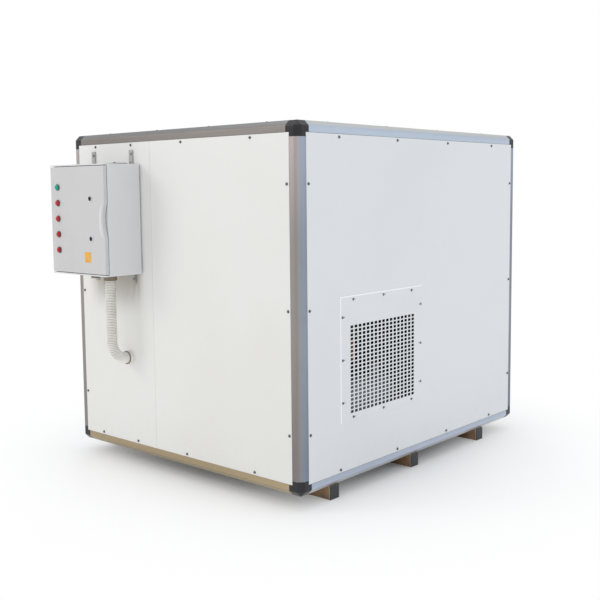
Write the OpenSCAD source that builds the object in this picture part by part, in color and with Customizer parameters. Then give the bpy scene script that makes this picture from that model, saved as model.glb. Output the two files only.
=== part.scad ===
// Refrigerated compressed-air dryer: a panelled cabinet on skids, with a wall-hung control box,
// a cooling-air intake grille, and the refrigeration and air circuits inside.
// +Z is up, -Y is the front with the control box, +X is the intake face.
// The origin is at the centre of the middle skid's underside.

/* [Cabinet] */
// Length along the cooling-air path, X
cabinet_l = 1460; // [1460:10:1800]
// Width across the intake face, Y
cabinet_w = 1730; // [1730:10:2100]
// Height without the skids
cabinet_h = 1500; // [1500:10:1800]
// Thickness of the wall panels
panel_t = 44; // [36:1:54]
// Sheet thickness of the panel trays
sheet_t = 1; // [0.8:0.1:1.5]
// Thickness of the acoustic lining in the trays
lining_t = 25; // [15:1:32]
// Gap around each wall panel
panel_gap = 1; // [0.5:0.1:2]
// Distance of the front seam from the cabinet's middle
seam_offset = -155; // [-200:5:-120]

/* [Frame profile] */
// Thickness of the profile's screw flanges
flange_t = 3; // [2:0.5:4]
// Width of the screw flanges
flange_w = 36; // [28:1:40]
// Wall of the hollow profile
rail_wall = 2; // [1.5:0.1:3]
// Leg of the bevel on the profile's outer edge
bevel_leg = 22; // [12:1:26]
// How far a corner block reaches along each edge
corner_reach = 65; // [58:1:90]
// Length of the corner block's plugs inside the profiles
plug_l = 40; // [20:1:60]

/* [Skids] */
// Height of a skid
skid_h = 60; // [50:1:100]
// Width of a skid
skid_w = 58; // [40:1:80]
// Wall of the skid tube
skid_wall = 4; // [3:0.5:5]
// Width of the tube joists below the floor sheet
joist_w = 50; // [40:1:56]
// Distance between skid centres
skid_pitch = 592; // [560:1:640]
// From the front face to the front skid's centre
front_overhang = 226; // [180:1:240]
// How far the skid ends stay inside the cabinet
skid_inset = 12; // [5:1:30]
// Thickness of the black end caps
cap_t = 5; // [3:1:8]
// Thickness of the floor plate
floor_t = 3; // [2:0.5:5]

/* [Panel screws] */
// Distance of a panel screw from the panel's edge
screw_inset = 12; // [10:1:16]
// Distance of the end screws from the end of a vertical edge
screw_end = 200; // [150:10:260]
// Shank radius of a panel screw
screw_r = 2.4; // [2:0.1:3]
// Radius of the washer under a screw's head
washer_r = 6.5; // [5.5:0.5:8]

/* [Intake grille] */
// Width of the grille plate
grille_w = 604; // [560:2:640]
// Height of the grille plate
grille_h = 533; // [500:1:580]
// Distance of the plate's middle from the cabinet's middle, towards the front
grille_offset = 310; // [280:5:340]
// Height of the plate's lower edge above the cabinet's underside
grille_rise = 255; // [230:5:300]
// Distance of the slotted field below the middle of the plate
grille_drop = 46; // [30:1:48]
// Thickness of the plate
grille_t = 1.5; // [1:0.1:2]
// Number of hole columns
hole_columns = 17; // [9:1:17]
// Number of hole rows
hole_rows = 22; // [11:1:22]
// Width of a hole
hole_w = 19.6; // [14:0.2:22]
// Height of a hole
hole_h = 12; // [8:0.2:13]
// Distance between hole columns
column_pitch = 28.1; // [26:0.1:29]
// Distance between hole rows
row_pitch = 17.2; // [16:0.1:18]
// Distance of the grille screws from the plate's edge
grille_screw_inset = 16; // [12:1:20]

/* [Control box] */
// Width of the control box
box_w = 400; // [380:5:440]
// Height of the control box
box_h = 500; // [500:5:540]
// Depth of the control box with its door
box_d = 200; // [190:5:240]
// Distance of the box's left side from the cabinet's left face
box_left = 108; // [90:2:130]
// Height of the box's underside above the cabinet's underside
box_rise = 853; // [820:1:880]
// Sheet thickness of the box and its door
box_sheet = 1.5; // [1.2:0.1:2]
// Width of the rim around the box's mouth
rim_w = 30; // [28:1:40]
// Height of the lips above and below the door
lip_h = 6; // [4:1:10]
// Depth of the door zone in front of the box's rim
door_zone = 20; // [18:1:28]
// Gap around the door
door_gap = 3; // [2:0.5:4]
// Height of the finger notch in the door's edge
notch_h = 150; // [100:5:180]
// Depth of the finger notch
notch_d = 14; // [8:1:15]
// Radius of the hinge knuckles
knuckle_r = 5; // [4:0.5:5]
// Radius of the hinge pins
hinge_pin_r = 2.5; // [2:0.1:3]
// Height of a hinge
hinge_h = 60; // [45:1:80]
// Distance of the lock axes from the door's free edge
lock_inset = 100; // [90:1:110]
// Height of the upper lock above the box's underside
upper_lock_rise = 346; // [330:1:350]
// Height of the lower lock above the box's underside
lower_lock_rise = 167; // [150:1:180]
// Radius of a lock's turning barrel
barrel_r = 6; // [5:0.5:7]
// Length of a lock's tongue
tongue_l = 86; // [84:1:96]
// Distance of the lamps from the box's hinge side
lamp_inset = 54; // [40:1:70]
// Height of the top lamp above the box's underside
lamp_rise = 398; // [380:1:410]
// Distance between lamps
lamp_pitch = 72; // [50:1:74]
// Radius of a lamp's bezel
bezel_r = 14.5; // [13:0.5:18]
// Radius of a lamp's lens
lens_r = 13; // [9:0.5:13]

/* [Conduit] */
// Distance of the conduit from the box's left side
hose_inset = 289; // [270:1:310]
// Distance of the conduit's axis from the cabinet's face
hose_standoff = 101; // [96:1:110]
// Outer radius of the conduit
hose_r = 26; // [20:1:28]
// Wall of the conduit
hose_wall = 3; // [2:0.5:4]
// Bend radius of the conduit's axis
hose_bend = 78; // [70:1:84]
// Height of the wall entry above the cabinet's underside
entry_rise = 455; // [400:5:500]
// Outer radius of the gland under the box and of the wall bushing
gland_r = 31.5; // [30:0.5:34]

/* [Air circuit] */
// Shell radius of the precooler and the evaporator
shell_r = 150; // [140:1:155]
// Wall of the vessels
shell_wall = 5; // [4:0.5:8]
// Thickness of the vessels' insulation
wrap_t = 20; // [12:1:24]
// Straight length of the two exchangers
shell_l = 1140; // [1000:10:1180]
// Height of the evaporator's axis above the floor plate
evaporator_rise = 686; // [680:1:700]
// Distance between the evaporator's and the precooler's axes
shell_pitch = 400; // [390:1:420]
// Outer radius of the air pipes
pipe_r = 44.5; // [40:0.5:46]
// Wall of the air pipes
pipe_wall = 3.2; // [2.5:0.1:4]
// Bend radius of the air pipes
pipe_bend = 90; // [80:1:95]
// Distance of the air outlet from the air inlet
outlet_offset = 300; // [280:5:330]
// How far the air flanges stand out of the rear face
flange_reach = 60; // [45:1:90]
// Radius of the air flanges
air_flange_r = 100; // [95:1:110]
// Pitch circle radius of the flange bolts
flange_bolt_pcr = 80; // [75:1:84]
// Radius of the flange bolt holes
flange_bolt_r = 9; // [7:0.5:10]
// Radius of the moisture separator
separator_r = 130; // [110:1:135]
// Radius of the condensate drain pipe
drain_r = 10.5; // [8:0.5:12]

/* [Refrigeration] */
// Radius of the compressor's shell
compressor_r = 125; // [110:1:130]
// Straight height of the compressor's shell
compressor_h = 420; // [380:5:460]
// Radius of the liquid receiver
receiver_r = 100; // [90:1:105]
// Straight length of the liquid receiver
receiver_l = 590; // [500:5:600]
// Height of the receiver's axis above the floor plate
receiver_rise = 207; // [190:1:220]
// Radius of the discharge and liquid lines
line_r = 11; // [8:0.5:12]
// Radius of the suction line
suction_r = 17; // [14:0.5:19]
// Width of the condenser's fin pack
fin_pack_w = 1120; // [1100:10:1140]
// Depth of the condenser's fins
fin_depth = 60; // [40:5:70]
// Distance between fins
fin_pitch = 28; // [20:1:40]
// Number of tubes in the condenser
tube_count = 16; // [8:2:16]
// Distance between condenser tubes
tube_pitch = 62; // [50:1:64]
// Radius of the condenser tubes
tube_r = 6; // [5:0.5:8]
// Inner radius of the fan rings
fan_r = 253; // [220:1:256]
// Distance between the two fans
fan_pitch = 560; // [540:2:580]
// Height of the fan shafts above the floor plate
fan_rise = 560; // [480:5:600]
// Number of blades on a fan
blade_count = 5; // [3:1:5]
// Pitch angle of the blades
blade_angle = 25; // [15:1:28]

/* [Hidden] */
$fn = 48;

// Clearances: a running fit, pieces that must not touch, and how far a cut runs past a face
running = 0.05;
clear = 0.3;
snug = 0.1;
past = 1;

// Cabinet
rail_w = panel_t + flange_t;
x0 = -cabinet_l / 2;
x1 = cabinet_l / 2;
y0 = -(skid_pitch + front_overhang);
y1 = y0 + cabinet_w;
z0 = skid_h;
z1 = z0 + cabinet_h;
mid_y = (y0 + y1) / 2;
mid_z = (z0 + z1) / 2;
seam_x = seam_offset;
panel_in = rail_w + panel_gap;
floor_top = z0 + panel_t;
plug_gap = 0.4;
head_t = 1.4;
hex_r = 4.4;
hex_t = 3.6;
screw_bite = 6;

// Grille
grille_y = mid_y - grille_offset;
grille_z = z0 + grille_rise + grille_h / 2;
field_z = grille_z - grille_drop;
field_w = (hole_columns - 1) * column_pitch + hole_w;
field_h = (hole_rows - 1) * row_pitch + hole_h;
intake_margin = 8;

// Control box
strip_t = 6;
strip_w = 25;
strip_over = 65;
strip_under = 45;
strip_offset = 140;
slot_w = 13;
slot_h = 22;
slot_pitch = 34;
strip_bolt_r = 4;
bx0 = x0 + box_left;
bx1 = bx0 + box_w;
bz0 = z0 + box_rise;
bz1 = bz0 + box_h;
box_x = (bx0 + bx1) / 2;
box_z = (bz0 + bz1) / 2;
by_back = y0 - strip_t;
by_front = by_back - box_d;
by_rim = by_front + door_zone;
door_z0 = bz0 + lip_h + door_gap;
door_z1 = bz1 - lip_h - door_gap;
notch_r = (notch_h * notch_h / 4 + notch_d * notch_d) / (2 * notch_d);
gasket_w = 8;
gasket_inset = notch_d + box_sheet + 3;
hinge_x = bx0 - knuckle_r - 0.5;
hinge_y = by_rim - door_gap / 2;
hinge_rises = [90, 410];
lock_x = bx1 - lock_inset;
lock_body_r = 10;
lock_bezel_r = 13;
tongue_t = 3;
tongue_w = 18;
tongue_y = by_rim + box_sheet + 0.5;
lamp_x = bx0 + lamp_inset;
lamp_depth = 45;
bezel_t = 5;
lamp_body_r = 11;
plate_off = 14;
plate_t = 2;
plate_margin = 34;
plate_y = by_back - box_sheet - plate_off;
din_h = 35;
din_t = 7.5;
gear_y = plate_y - plate_t - din_t;
upper_din_z = bz0 + 350;
lower_din_z = bz0 + 150;
breaker_w = 72;
breaker_h = 88;
breaker_d = 62;
breaker_x = bx0 + 95;
toggle_y = gear_y - breaker_d;
toggle_r = 8;
toggle_sink = 2;

// Conduit
hose_x = bx0 + hose_inset;
hose_y = y0 - hose_standoff;
entry_z = z0 + entry_rise;
gland_h = 28;
bushing_reach = hose_standoff - hose_bend - 1;
neck_r = 28;
inlet_x = hose_x - 110;
inlet_gland_r = 21;
inlet_bore_r = 12.5;

// Air circuit
shell_y0 = mid_y - shell_l / 2 + 3;
shell_y1 = shell_y0 + shell_l;
dish = 60;
evap_z = floor_top + evaporator_rise;
pre_z = evap_z + shell_pitch;
wrap_r = shell_r + wrap_t;
sep_y = shell_y1 - 120;
outlet_y = sep_y - 100;
sep_dish = 45;
sep_z0 = floor_top + 136;
sep_z1 = sep_z0 + 270;
sep_port_z = sep_z1 - 60;
leg_t = 12;
leg_w = 30;
leg_lap = 60;
leg_weld = 2;
return_x = -(wrap_r + 100);
air_end_y = y1 + flange_reach;
air_flange_t = 20;
flange_bolts = 8;
turn_y = shell_y0 - 170;
stand_ys = [shell_y0 + 170, shell_y0 + 770];
post_w = 38;
post_x = wrap_r + 16;
saddle_h = 80;
saddle_drop = 50;
drain_z = z0 + rail_w + flange_w + drain_r + 4;
drain_bore_r = 8;
drain_bend = 34;
valve_y = sep_y + 135;
ball_r = 13;
valve_body_r = 17;
stem_r = 4;
lever_l = 95;
auto_y = y1 - panel_t - 70;
drain_end_y = y1 + 45;
drain_collar_r = drain_r + 5;
drain_collar_t = 6;

// Refrigeration
comp_x = 430;
comp_y = 380;
foot_h = 26;
foot_r = 20;
foot_span = 105;
comp_z0 = floor_top + foot_h + 6;
comp_dish = 40;
comp_top = comp_z0 + compressor_h + comp_dish;
rec_x = x1 - 250;
rec_z = floor_top + receiver_rise;
rec_y1 = 46;
rec_y0 = rec_y1 - receiver_l;
rec_dish = 40;
king_y = rec_y1 - 36;
king_z = rec_z + receiver_r;
king_h = 44;
wheel_r = 24;
liquid_x = rec_x - 140;
drier_r = 32;
drier_z0 = king_z + 150;
drier_z1 = drier_z0 + 150;
suction_y = king_y + 110;
suction_x = comp_x - compressor_r - 55;
suction_z = comp_z0 + 330;
line_bend = 34;
fin_x = x0 + 290;
fin_t = 1.5;
fin_z0 = floor_top + 76;
fin_z1 = fin_z0 + tube_count * tube_pitch;
fin_count = floor(fin_pack_w / fin_pitch);
fin_y0 = mid_y - fin_pitch * (fin_count - 1) / 2 - fin_t / 2;
end_plate_t = 3;
end_y0 = fin_y0 - fin_pitch / 2;
end_y1 = fin_y0 + fin_pitch * (fin_count - 0.5);
tube_end_y = end_y1 + 55;
line_y = tube_end_y + 58;
fan_z = floor_top + fan_rise;
fan_ys = [mid_y - fan_pitch / 2, mid_y + fan_pitch / 2];
ring_wall = 2;
ring_depth = 118;
shroud_x = x0 + 60;
hub_x = x0 + 80;
hub_r = 70;
hub_t = 80;
shaft_r = 12;
stator_r = 45;
tip_gap = 8;
blade_t = 3;
guard_t = 4;
guard_pitch = 24;
guard_rim = 24;

function unit(v) = v / norm(v);
function dish_r(r, d) = (r * r + d * d) / (2 * d);

// A box between two opposite corners
module box(lo, hi) {
    translate(lo) cube(hi - lo);
}

// Turns the children's +Z to the axis-aligned direction n
module facing(n) {
    u = abs(n.z) > 0.5 ? [1, 0, 0] : [0, 0, 1];
    a = cross(u, n);
    b = cross(n, a);
    multmatrix([
        [a.x, b.x, n.x, 0],
        [a.y, b.y, n.y, 0],
        [a.z, b.z, n.z, 0],
        [0, 0, 0, 1]
    ]) children();
}

// A round bar from p along n
module rod(p, n, r, l) {
    translate(p) facing(n) cylinder(r = r, h = l);
}

// A quarter bend of a round bar, from travel direction u to v, round the corner point p
module quarter_bend(p, u, v, r, bend) {
    c = p + (v - u) * bend;
    w = cross(u, v);
    multmatrix([
        [-v.x, u.x, w.x, c.x],
        [-v.y, u.y, w.y, c.y],
        [-v.z, u.z, w.z, c.z],
        [0, 0, 0, 1]
    ]) rotate_extrude(angle = 90) translate([bend, 0]) circle(r = r);
}

// A round bar along axis-aligned legs with quarter bends at the corners
module bent_bar(points, r, bend) {
    last = len(points) - 1;
    for (i = [0:last - 1]) {
        d = unit(points[i + 1] - points[i]);
        from = points[i] + (i > 0 ? bend : 0) * d;
        to = points[i + 1] - (i < last - 1 ? bend : 0) * d;
        rod(from, d, r, norm(to - from));
        if (i > 0) quarter_bend(points[i], unit(points[i] - points[i - 1]), d, r, bend);
    }
}

// The same route with both ends lengthened, for the bore of a tube
function lengthened(points, by) = let (last = len(points) - 1) [
    for (i = [0:last])
        i == 0 ? points[0] - by * unit(points[1] - points[0])
        : i == last ? points[last] + by * unit(points[last] - points[last - 1])
        : points[i]
];

module bent_tube(points, r, wall, bend) {
    difference() {
        bent_bar(points, r, bend);
        bent_bar(lengthened(points, past), r - wall, bend);
    }
}

// A solid with dished ends, its straight part from z = 0 to l
module dished_bar(r, l, d) {
    cylinder(r = r, h = l);
    for (top = [0, 1]) {
        translate([0, 0, top * l]) mirror([0, 0, 1 - top]) intersection() {
            cylinder(r = r, h = d + past);
            translate([0, 0, d - dish_r(r, d)]) sphere(r = dish_r(r, d));
        }
    }
}

module vessel(r, l, d, wall) {
    difference() {
        dished_bar(r, l, d);
        dished_bar(r - wall, l, d - wall);
    }
}

// A sheet tray between two corners, open towards the direction "open"
module tray(lo, hi, open, t) {
    inner = [t, t, t];
    difference() {
        box(lo, hi);
        box(
            lo + inner - 2 * t * [for (c = open) max(-c, 0)],
            hi - inner + 2 * t * [for (c = open) max(c, 0)]
        );
    }
}

// A lining slab behind the skin of a tray that is open towards "open"
module lining(lo, hi, open) {
    inset = sheet_t + snug;
    a = lo + inset * [1, 1, 1];
    b = hi - inset * [1, 1, 1];
    slab_hi = [for (i = [0:2]) open[i] > 0 ? a[i] + lining_t : b[i]];
    slab_lo = [for (i = [0:2]) open[i] < 0 ? b[i] - lining_t : a[i]];
    box(slab_lo, slab_hi);
}

// Wall panels as pairs of corners
front_left_box = [[x0 + panel_in, y0, z0 + panel_in], [seam_x - panel_gap / 2, y0 + panel_t, z1 - panel_in]];
front_right_box = [[seam_x + panel_gap / 2, y0, z0 + panel_in], [x1 - panel_in, y0 + panel_t, z1 - panel_in]];
rear_box = [[x0 + panel_in, y1 - panel_t, z0 + panel_in], [x1 - panel_in, y1, z1 - panel_in]];
left_box = [[x0, y0 + panel_in, z0 + panel_in], [x0 + panel_t, y1 - panel_in, z1 - panel_in]];
right_box = [[x1 - panel_t, y0 + panel_in, z0 + panel_in], [x1, y1 - panel_in, z1 - panel_in]];
roof_box = [[x0 + panel_in, y0 + panel_in, z1 - panel_t], [x1 - panel_in, y1 - panel_in, z1]];
floor_box = [[x0 + panel_in, y0 + panel_in, z0], [x1 - panel_in, y1 - panel_in, z0 + panel_t]];

// Screw places along a run from a to b: n at the middles of equal shares, or three from the ends
function shares(a, b, n) = [for (i = [0:n - 1]) a + (b - a) * (i + 0.5) / n];
function thirds(a, b) = [a + screw_end, (a + b) / 2, b - screw_end];
screw_zs = [z0 + panel_in + screw_inset, z1 - panel_in - screw_inset];
screw_xs = [x0 + panel_in + screw_inset, x1 - panel_in - screw_inset];
screw_ys = [y0 + panel_in + screw_inset, y1 - panel_in - screw_inset];
front_screw_xs = concat(
    shares(x0 + panel_in, seam_x, 2),
    shares(seam_x, x1 - panel_in, 2)
);
wall_screw_zs = thirds(z0 + panel_in, z1 - panel_in);
side_screw_ys = shares(y0 + panel_in, y1 - panel_in, 4);
roof_screw_xs = shares(x0 + panel_in, x1 - panel_in, 4);

// Puts the children on every panel screw's place, with +Z out of the panel
module at_panel_screws() {
    for (n = [-1, 1]) {
        y = n < 0 ? y0 : y1;
        x = n < 0 ? x0 : x1;
        for (z = screw_zs, i = front_screw_xs) translate([i, y, z]) facing([0, n, 0]) children();
        for (z = wall_screw_zs, i = screw_xs) translate([i, y, z]) facing([0, n, 0]) children();
        for (z = screw_zs, i = side_screw_ys) translate([x, i, z]) facing([n, 0, 0]) children();
        for (z = wall_screw_zs, i = screw_ys) translate([x, i, z]) facing([n, 0, 0]) children();
        for (i = roof_screw_xs) translate([i, screw_ys[(n + 1) / 2], z1]) children();
        for (i = side_screw_ys) translate([screw_xs[(n + 1) / 2], i, z1]) children();
    }
}

module panel_screw_holes() {
    depth = panel_t + rail_w;
    at_panel_screws() translate([0, 0, -depth]) cylinder(r = screw_r + snug, h = depth + past);
}

// Puts the children on the twelve grille screws, with +Z out of the plate
module at_grille_screws() {
    half_w = grille_w / 2 - grille_screw_inset;
    half_h = grille_h / 2 - grille_screw_inset;
    spread_w = 0.75 * half_w;
    spread_h = 0.72 * half_h;
    for (i = [-1, 0, 1], side = [-1, 1]) {
        translate([x1 + grille_t, grille_y + i * spread_w, grille_z + side * half_h])
            facing([1, 0, 0]) children();
        translate([x1 + grille_t, grille_y + side * half_w, grille_z + i * spread_h])
            facing([1, 0, 0]) children();
    }
}

// Every opening that goes through a wall panel and its lining
module wall_openings() {
    box(
        [x1 - panel_t - past, grille_y - field_w / 2 - intake_margin, field_z - field_h / 2 - intake_margin],
        [x1 + past, grille_y + field_w / 2 + intake_margin, field_z + field_h / 2 + intake_margin]
    );
    at_grille_screws() translate([0, 0, -panel_t]) cylinder(r = screw_r + snug, h = panel_t + past);
    for (y = fan_ys) rod([x0 - past, y, fan_z], [1, 0, 0], fan_r + ring_wall + 0.5, panel_t + 2 * past);
    for (x = [0, outlet_offset]) rod([x, y1 + past, pre_z], [0, -1, 0], pipe_r + 0.5, panel_t + 2 * past);
    rod([0, y1 + past, drain_z], [0, -1, 0], drain_r + 0.5, panel_t + 2 * past);
    rod([hose_x, y0 - past, entry_z], [0, 1, 0], neck_r + snug, panel_t + 2 * past);
    for (p = strip_bolts()) rod([p.x, y0 - past, p.y], [0, 1, 0], strip_bolt_r + snug, panel_t);
}

function strip_bolts() = [
    for (s = [-1, 1], z = [bz0 - strip_under + 18, bz1 + strip_over - 18]) [box_x + s * strip_offset, z]
];

// One skid tube, its length along X
module skid_tube(y) {
    a = x0 + skid_inset + cap_t;
    b = x1 - skid_inset - cap_t;
    difference() {
        box([a, y - skid_w / 2, 0], [b, y + skid_w / 2, skid_h]);
        box(
            [a - past, y - skid_w / 2 + skid_wall, skid_wall],
            [b + past, y + skid_w / 2 - skid_wall, skid_h - skid_wall]
        );
    }
}

skid_ys = [-skid_pitch, 0, skid_pitch];

module skids() {
    color("peru") for (y = skid_ys) skid_tube(y);
}

// Plastic caps with a plug that sits in the tube
module skid_end_caps() {
    inner = skid_wall + snug;
    color([0.12, 0.12, 0.13]) for (y = skid_ys, s = [-1, 1]) {
        outer_x = s * (cabinet_l / 2 - skid_inset);
        face_x = outer_x - s * cap_t;
        plug_x = face_x - s * 18;
        box([min(outer_x, face_x), y - skid_w / 2, 0], [max(outer_x, face_x), y + skid_w / 2, skid_h]);
        box(
            [min(face_x, plug_x), y - skid_w / 2 + inner, inner],
            [max(face_x, plug_x), y + skid_w / 2 - inner, skid_h - inner]
        );
    }
}

// Profile section with its outer edge at the origin
module rail_section() {
    k = rail_wall * (sqrt(2) - 1);
    far = rail_w + flange_w;
    inner = rail_w - rail_wall;
    difference() {
        polygon([
            [bevel_leg, 0], [rail_w, 0], [rail_w, panel_t], [far, panel_t], [far, rail_w],
            [rail_w, rail_w], [rail_w, far], [panel_t, far], [panel_t, rail_w], [0, rail_w],
            [0, bevel_leg]
        ]);
        polygon([
            [bevel_leg + k, rail_wall], [inner, rail_wall], [inner, inner], [rail_wall, inner],
            [rail_wall, bevel_leg + k]
        ]);
    }
}

module to_centre() {
    translate([0, mid_y, mid_z]) children();
}

module x_rails(side_z) {
    to_centre() for (s = [0, 1]) mirror([0, s, 0]) mirror([0, 0, side_z])
        translate([-cabinet_l / 2 + corner_reach, -cabinet_w / 2, -cabinet_h / 2])
            rotate([90, 0, 90]) linear_extrude(cabinet_l - 2 * corner_reach) rail_section();
}

module y_rails(side_z) {
    to_centre() for (s = [0, 1]) mirror([s, 0, 0]) mirror([0, 0, side_z])
        translate([-cabinet_l / 2, -cabinet_w / 2 + corner_reach, -cabinet_h / 2])
            rotate([-90, 0, 0]) rotate([0, 0, -90]) linear_extrude(cabinet_w - 2 * corner_reach)
                rail_section();
}

module base_rails() {
    color("silver") difference() {
        union() {
            x_rails(0);
            y_rails(0);
        }
        panel_screw_holes();
        rail_end_cuts(z0);
    }
}

module top_rails() {
    color("silver") difference() {
        union() {
            x_rails(1);
            y_rails(1);
        }
        panel_screw_holes();
        rail_end_cuts(z1 - rail_w - flange_w);
    }
}

// Clears the flange ends of the horizontal profiles out of each other's way at the corners
module rail_end_cuts(z) {
    size = rail_w + flange_w + snug;
    to_centre() for (sx = [0, 1], sy = [0, 1]) mirror([sx, 0, 0]) mirror([0, sy, 0])
        translate([-cabinet_l / 2 + rail_w + snug, -cabinet_w / 2 + rail_w + snug, z - mid_z - past])
            cube([size - rail_w, size - rail_w, rail_w + flange_w + 2 * past]);
}

module corner_posts() {
    trim = corner_reach + flange_w;
    color("silver") difference() {
        to_centre() for (sx = [0, 1], sy = [0, 1]) mirror([sx, 0, 0]) mirror([0, sy, 0])
            translate([-cabinet_l / 2, -cabinet_w / 2, -cabinet_h / 2 + corner_reach])
                linear_extrude(cabinet_h - 2 * corner_reach) rail_section();
        panel_screw_holes();
        for (z = [z0, z1 - trim]) {
            box([x0 + rail_w, y0, z], [x1 - rail_w, y1, z + trim]);
            box([x0, y0 + rail_w, z], [x1, y1 - rail_w, z + trim]);
        }
    }
}

// One corner block: three square arms, bevelled on their outer edges, each with a plug
module corner_block() {
    plug_in = rail_wall + plug_gap;
    k = plug_in * (sqrt(2) - 1);
    inner = rail_w - plug_in;
    difference() {
        union() {
            cube([corner_reach, rail_w, rail_w]);
            cube([rail_w, corner_reach, rail_w]);
            cube([rail_w, rail_w, corner_reach]);
        }
        for (turn = [0:2]) cyclic(turn) linear_extrude(2 * corner_reach + past, center = true)
            polygon([[-past, -past], [bevel_leg + past, -past], [-past, bevel_leg + past]]);
    }
    for (turn = [0:2]) cyclic(turn) translate([0, 0, corner_reach]) linear_extrude(plug_l)
        polygon([
            [bevel_leg + k, plug_in], [inner, plug_in], [inner, inner], [plug_in, inner],
            [plug_in, bevel_leg + k]
        ]);
}

// Turns the axes round, X to Y to Z, n times
module cyclic(n) {
    if (n == 0) children();
    if (n == 1) rotate([90, 0, 90]) children();
    if (n == 2) rotate([-90, 0, 0]) rotate([0, 0, -90]) children();
}

module corner_blocks() {
    color([0.13, 0.12, 0.14]) to_centre() for (sx = [0, 1], sy = [0, 1], sz = [0, 1])
        mirror([sx, 0, 0]) mirror([0, sy, 0]) mirror([0, 0, sz])
            translate([-cabinet_l / 2, -cabinet_w / 2, -cabinet_h / 2]) corner_block();
}

// Floor sheet with its edge lips and joist tubes, welded below it as separate lengths
module floor_plate() {
    lo = floor_box[0];
    hi = floor_box[1];
    under = hi.z - floor_t - snug;
    gap = floor_t + clear;
    color("gainsboro") {
        box([lo.x, lo.y, hi.z - floor_t], hi);
        for (y = [lo.y, hi.y - floor_t]) box([lo.x, y, lo.z], [hi.x, y + floor_t, under]);
        for (x = [lo.x, hi.x - floor_t])
            box([x, lo.y + floor_t + snug, lo.z], [x + floor_t, hi.y - floor_t - snug, under]);
    }
    color("dimgray") for (y = skid_ys) difference() {
        box([lo.x + gap, y - joist_w / 2, z0], [hi.x - gap, y + joist_w / 2, under]);
        box(
            [lo.x, y - joist_w / 2 + skid_wall, z0 + skid_wall],
            [hi.x, y + joist_w / 2 - skid_wall, under - skid_wall]
        );
    }
}

module wall_panel(corners, open) {
    difference() {
        tray(corners[0], corners[1], open, sheet_t);
        wall_openings();
        panel_screw_holes();
    }
}

module front_panel_left() {
    color("whitesmoke") wall_panel(front_left_box, [0, 1, 0]);
}

module front_panel_right() {
    color("whitesmoke") wall_panel(front_right_box, [0, 1, 0]);
}

module right_panel() {
    color("whitesmoke") wall_panel(right_box, [-1, 0, 0]);
}

module rear_panel() {
    color("whitesmoke") wall_panel(rear_box, [0, -1, 0]);
}

module left_panel() {
    color("whitesmoke") wall_panel(left_box, [1, 0, 0]);
}

module roof_panel() {
    color("whitesmoke") wall_panel(roof_box, [0, 0, -1]);
}

module acoustic_lining() {
    color([0.2, 0.2, 0.21]) difference() {
        union() {
            lining(front_left_box[0], front_left_box[1], [0, 1, 0]);
            lining(front_right_box[0], front_right_box[1], [0, 1, 0]);
            lining(right_box[0], right_box[1], [-1, 0, 0]);
            lining(rear_box[0], rear_box[1], [0, -1, 0]);
            lining(left_box[0], left_box[1], [1, 0, 0]);
            lining(roof_box[0], roof_box[1], [0, 0, -1]);
        }
        wall_openings();
        panel_screw_holes();
    }
}

// Washer-head screw with its head on z = 0
module sheet_screw(l) {
    translate([0, 0, -l]) cylinder(r = screw_r, h = l + head_t);
    cylinder(r = washer_r, h = head_t);
    translate([0, 0, head_t]) cylinder(r = hex_r, h = hex_t, $fn = 6);
}

module panel_screws() {
    color("dimgray") {
        at_panel_screws() sheet_screw(rail_w + screw_bite);
        at_grille_screws() sheet_screw(grille_t + screw_bite);
    }
}

module intake_grille() {
    color("gainsboro") difference() {
        translate([x1, grille_y, grille_z]) rotate([90, 0, 90]) linear_extrude(grille_t) difference() {
            square([grille_w, grille_h], center = true);
            for (c = [0:hole_columns - 1], r = [0:hole_rows - 1])
                translate([
                    (c - (hole_columns - 1) / 2) * column_pitch,
                    (r - (hole_rows - 1) / 2) * row_pitch - grille_drop
                ]) square([hole_w, hole_h], center = true);
        }
        at_grille_screws() translate([0, 0, -grille_t - past])
            cylinder(r = screw_r + snug, h = grille_t + 2 * past);
    }
}

// Sheet box with a rim round its mouth and a lip above and below the door
module control_box() {
    s = box_sheet;
    color("lightgray") difference() {
        union() {
            difference() {
                box([bx0, by_rim, bz0], [bx1, by_back, bz1]);
                box([bx0 + s, by_rim + s, bz0 + s], [bx1 - s, by_back - s, bz1 - s]);
            }
            box([bx0, by_front, bz0], [bx1, by_rim + s, bz0 + lip_h]);
            box([bx0, by_front, bz1 - lip_h], [bx1, by_rim + s, bz1]);
        }
        box([bx0 + rim_w, by_rim - past, bz0 + rim_w], [bx1 - rim_w, by_rim + s + past, bz1 - rim_w]);
        rod([hose_x, hose_y, bz0 - past], [0, 0, 1], hose_r + snug, s + 2 * past);
        rod([inlet_x, hose_y, bz0 - past], [0, 0, 1], inlet_bore_r + 4 + snug, s + 2 * past);
    }
}

// Slotted strips that carry the box on the wall, with their bolts
module mounting_strips() {
    lo = bz0 - strip_under;
    hi = bz1 + strip_over;
    slots = floor((hi - lo) / slot_pitch);
    first = (hi + lo) / 2 - (slots - 1) / 2 * slot_pitch;
    bolts = strip_bolts();
    color("darkgray") {
        for (s = [-1, 1]) {
            x = box_x + s * strip_offset;
            difference() {
                box([x - strip_w / 2, y0 - strip_t, lo], [x + strip_w / 2, y0, hi]);
                for (i = [0:slots - 1]) {
                    z = first + i * slot_pitch;
                    if (min([for (p = bolts) abs(p.y - z)]) > slot_h)
                        box(
                            [x - slot_w / 2, y0 - strip_t - past, z - slot_h / 2],
                            [x + slot_w / 2, y0 + past, z + slot_h / 2]
                        );
                }
                for (p = bolts)
                    rod([p.x, y0 - strip_t - past, p.y], [0, 1, 0], strip_bolt_r + snug, strip_t + 2 * past);
            }
        }
        for (p = bolts) translate([p.x, y0 - strip_t - snug, p.y]) facing([0, -1, 0]) {
            translate([0, 0, -strip_t - 30]) cylinder(r = strip_bolt_r, h = strip_t + 30);
            cylinder(r = 6.5, h = 5.3, $fn = 6);
        }
    }
}

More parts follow.
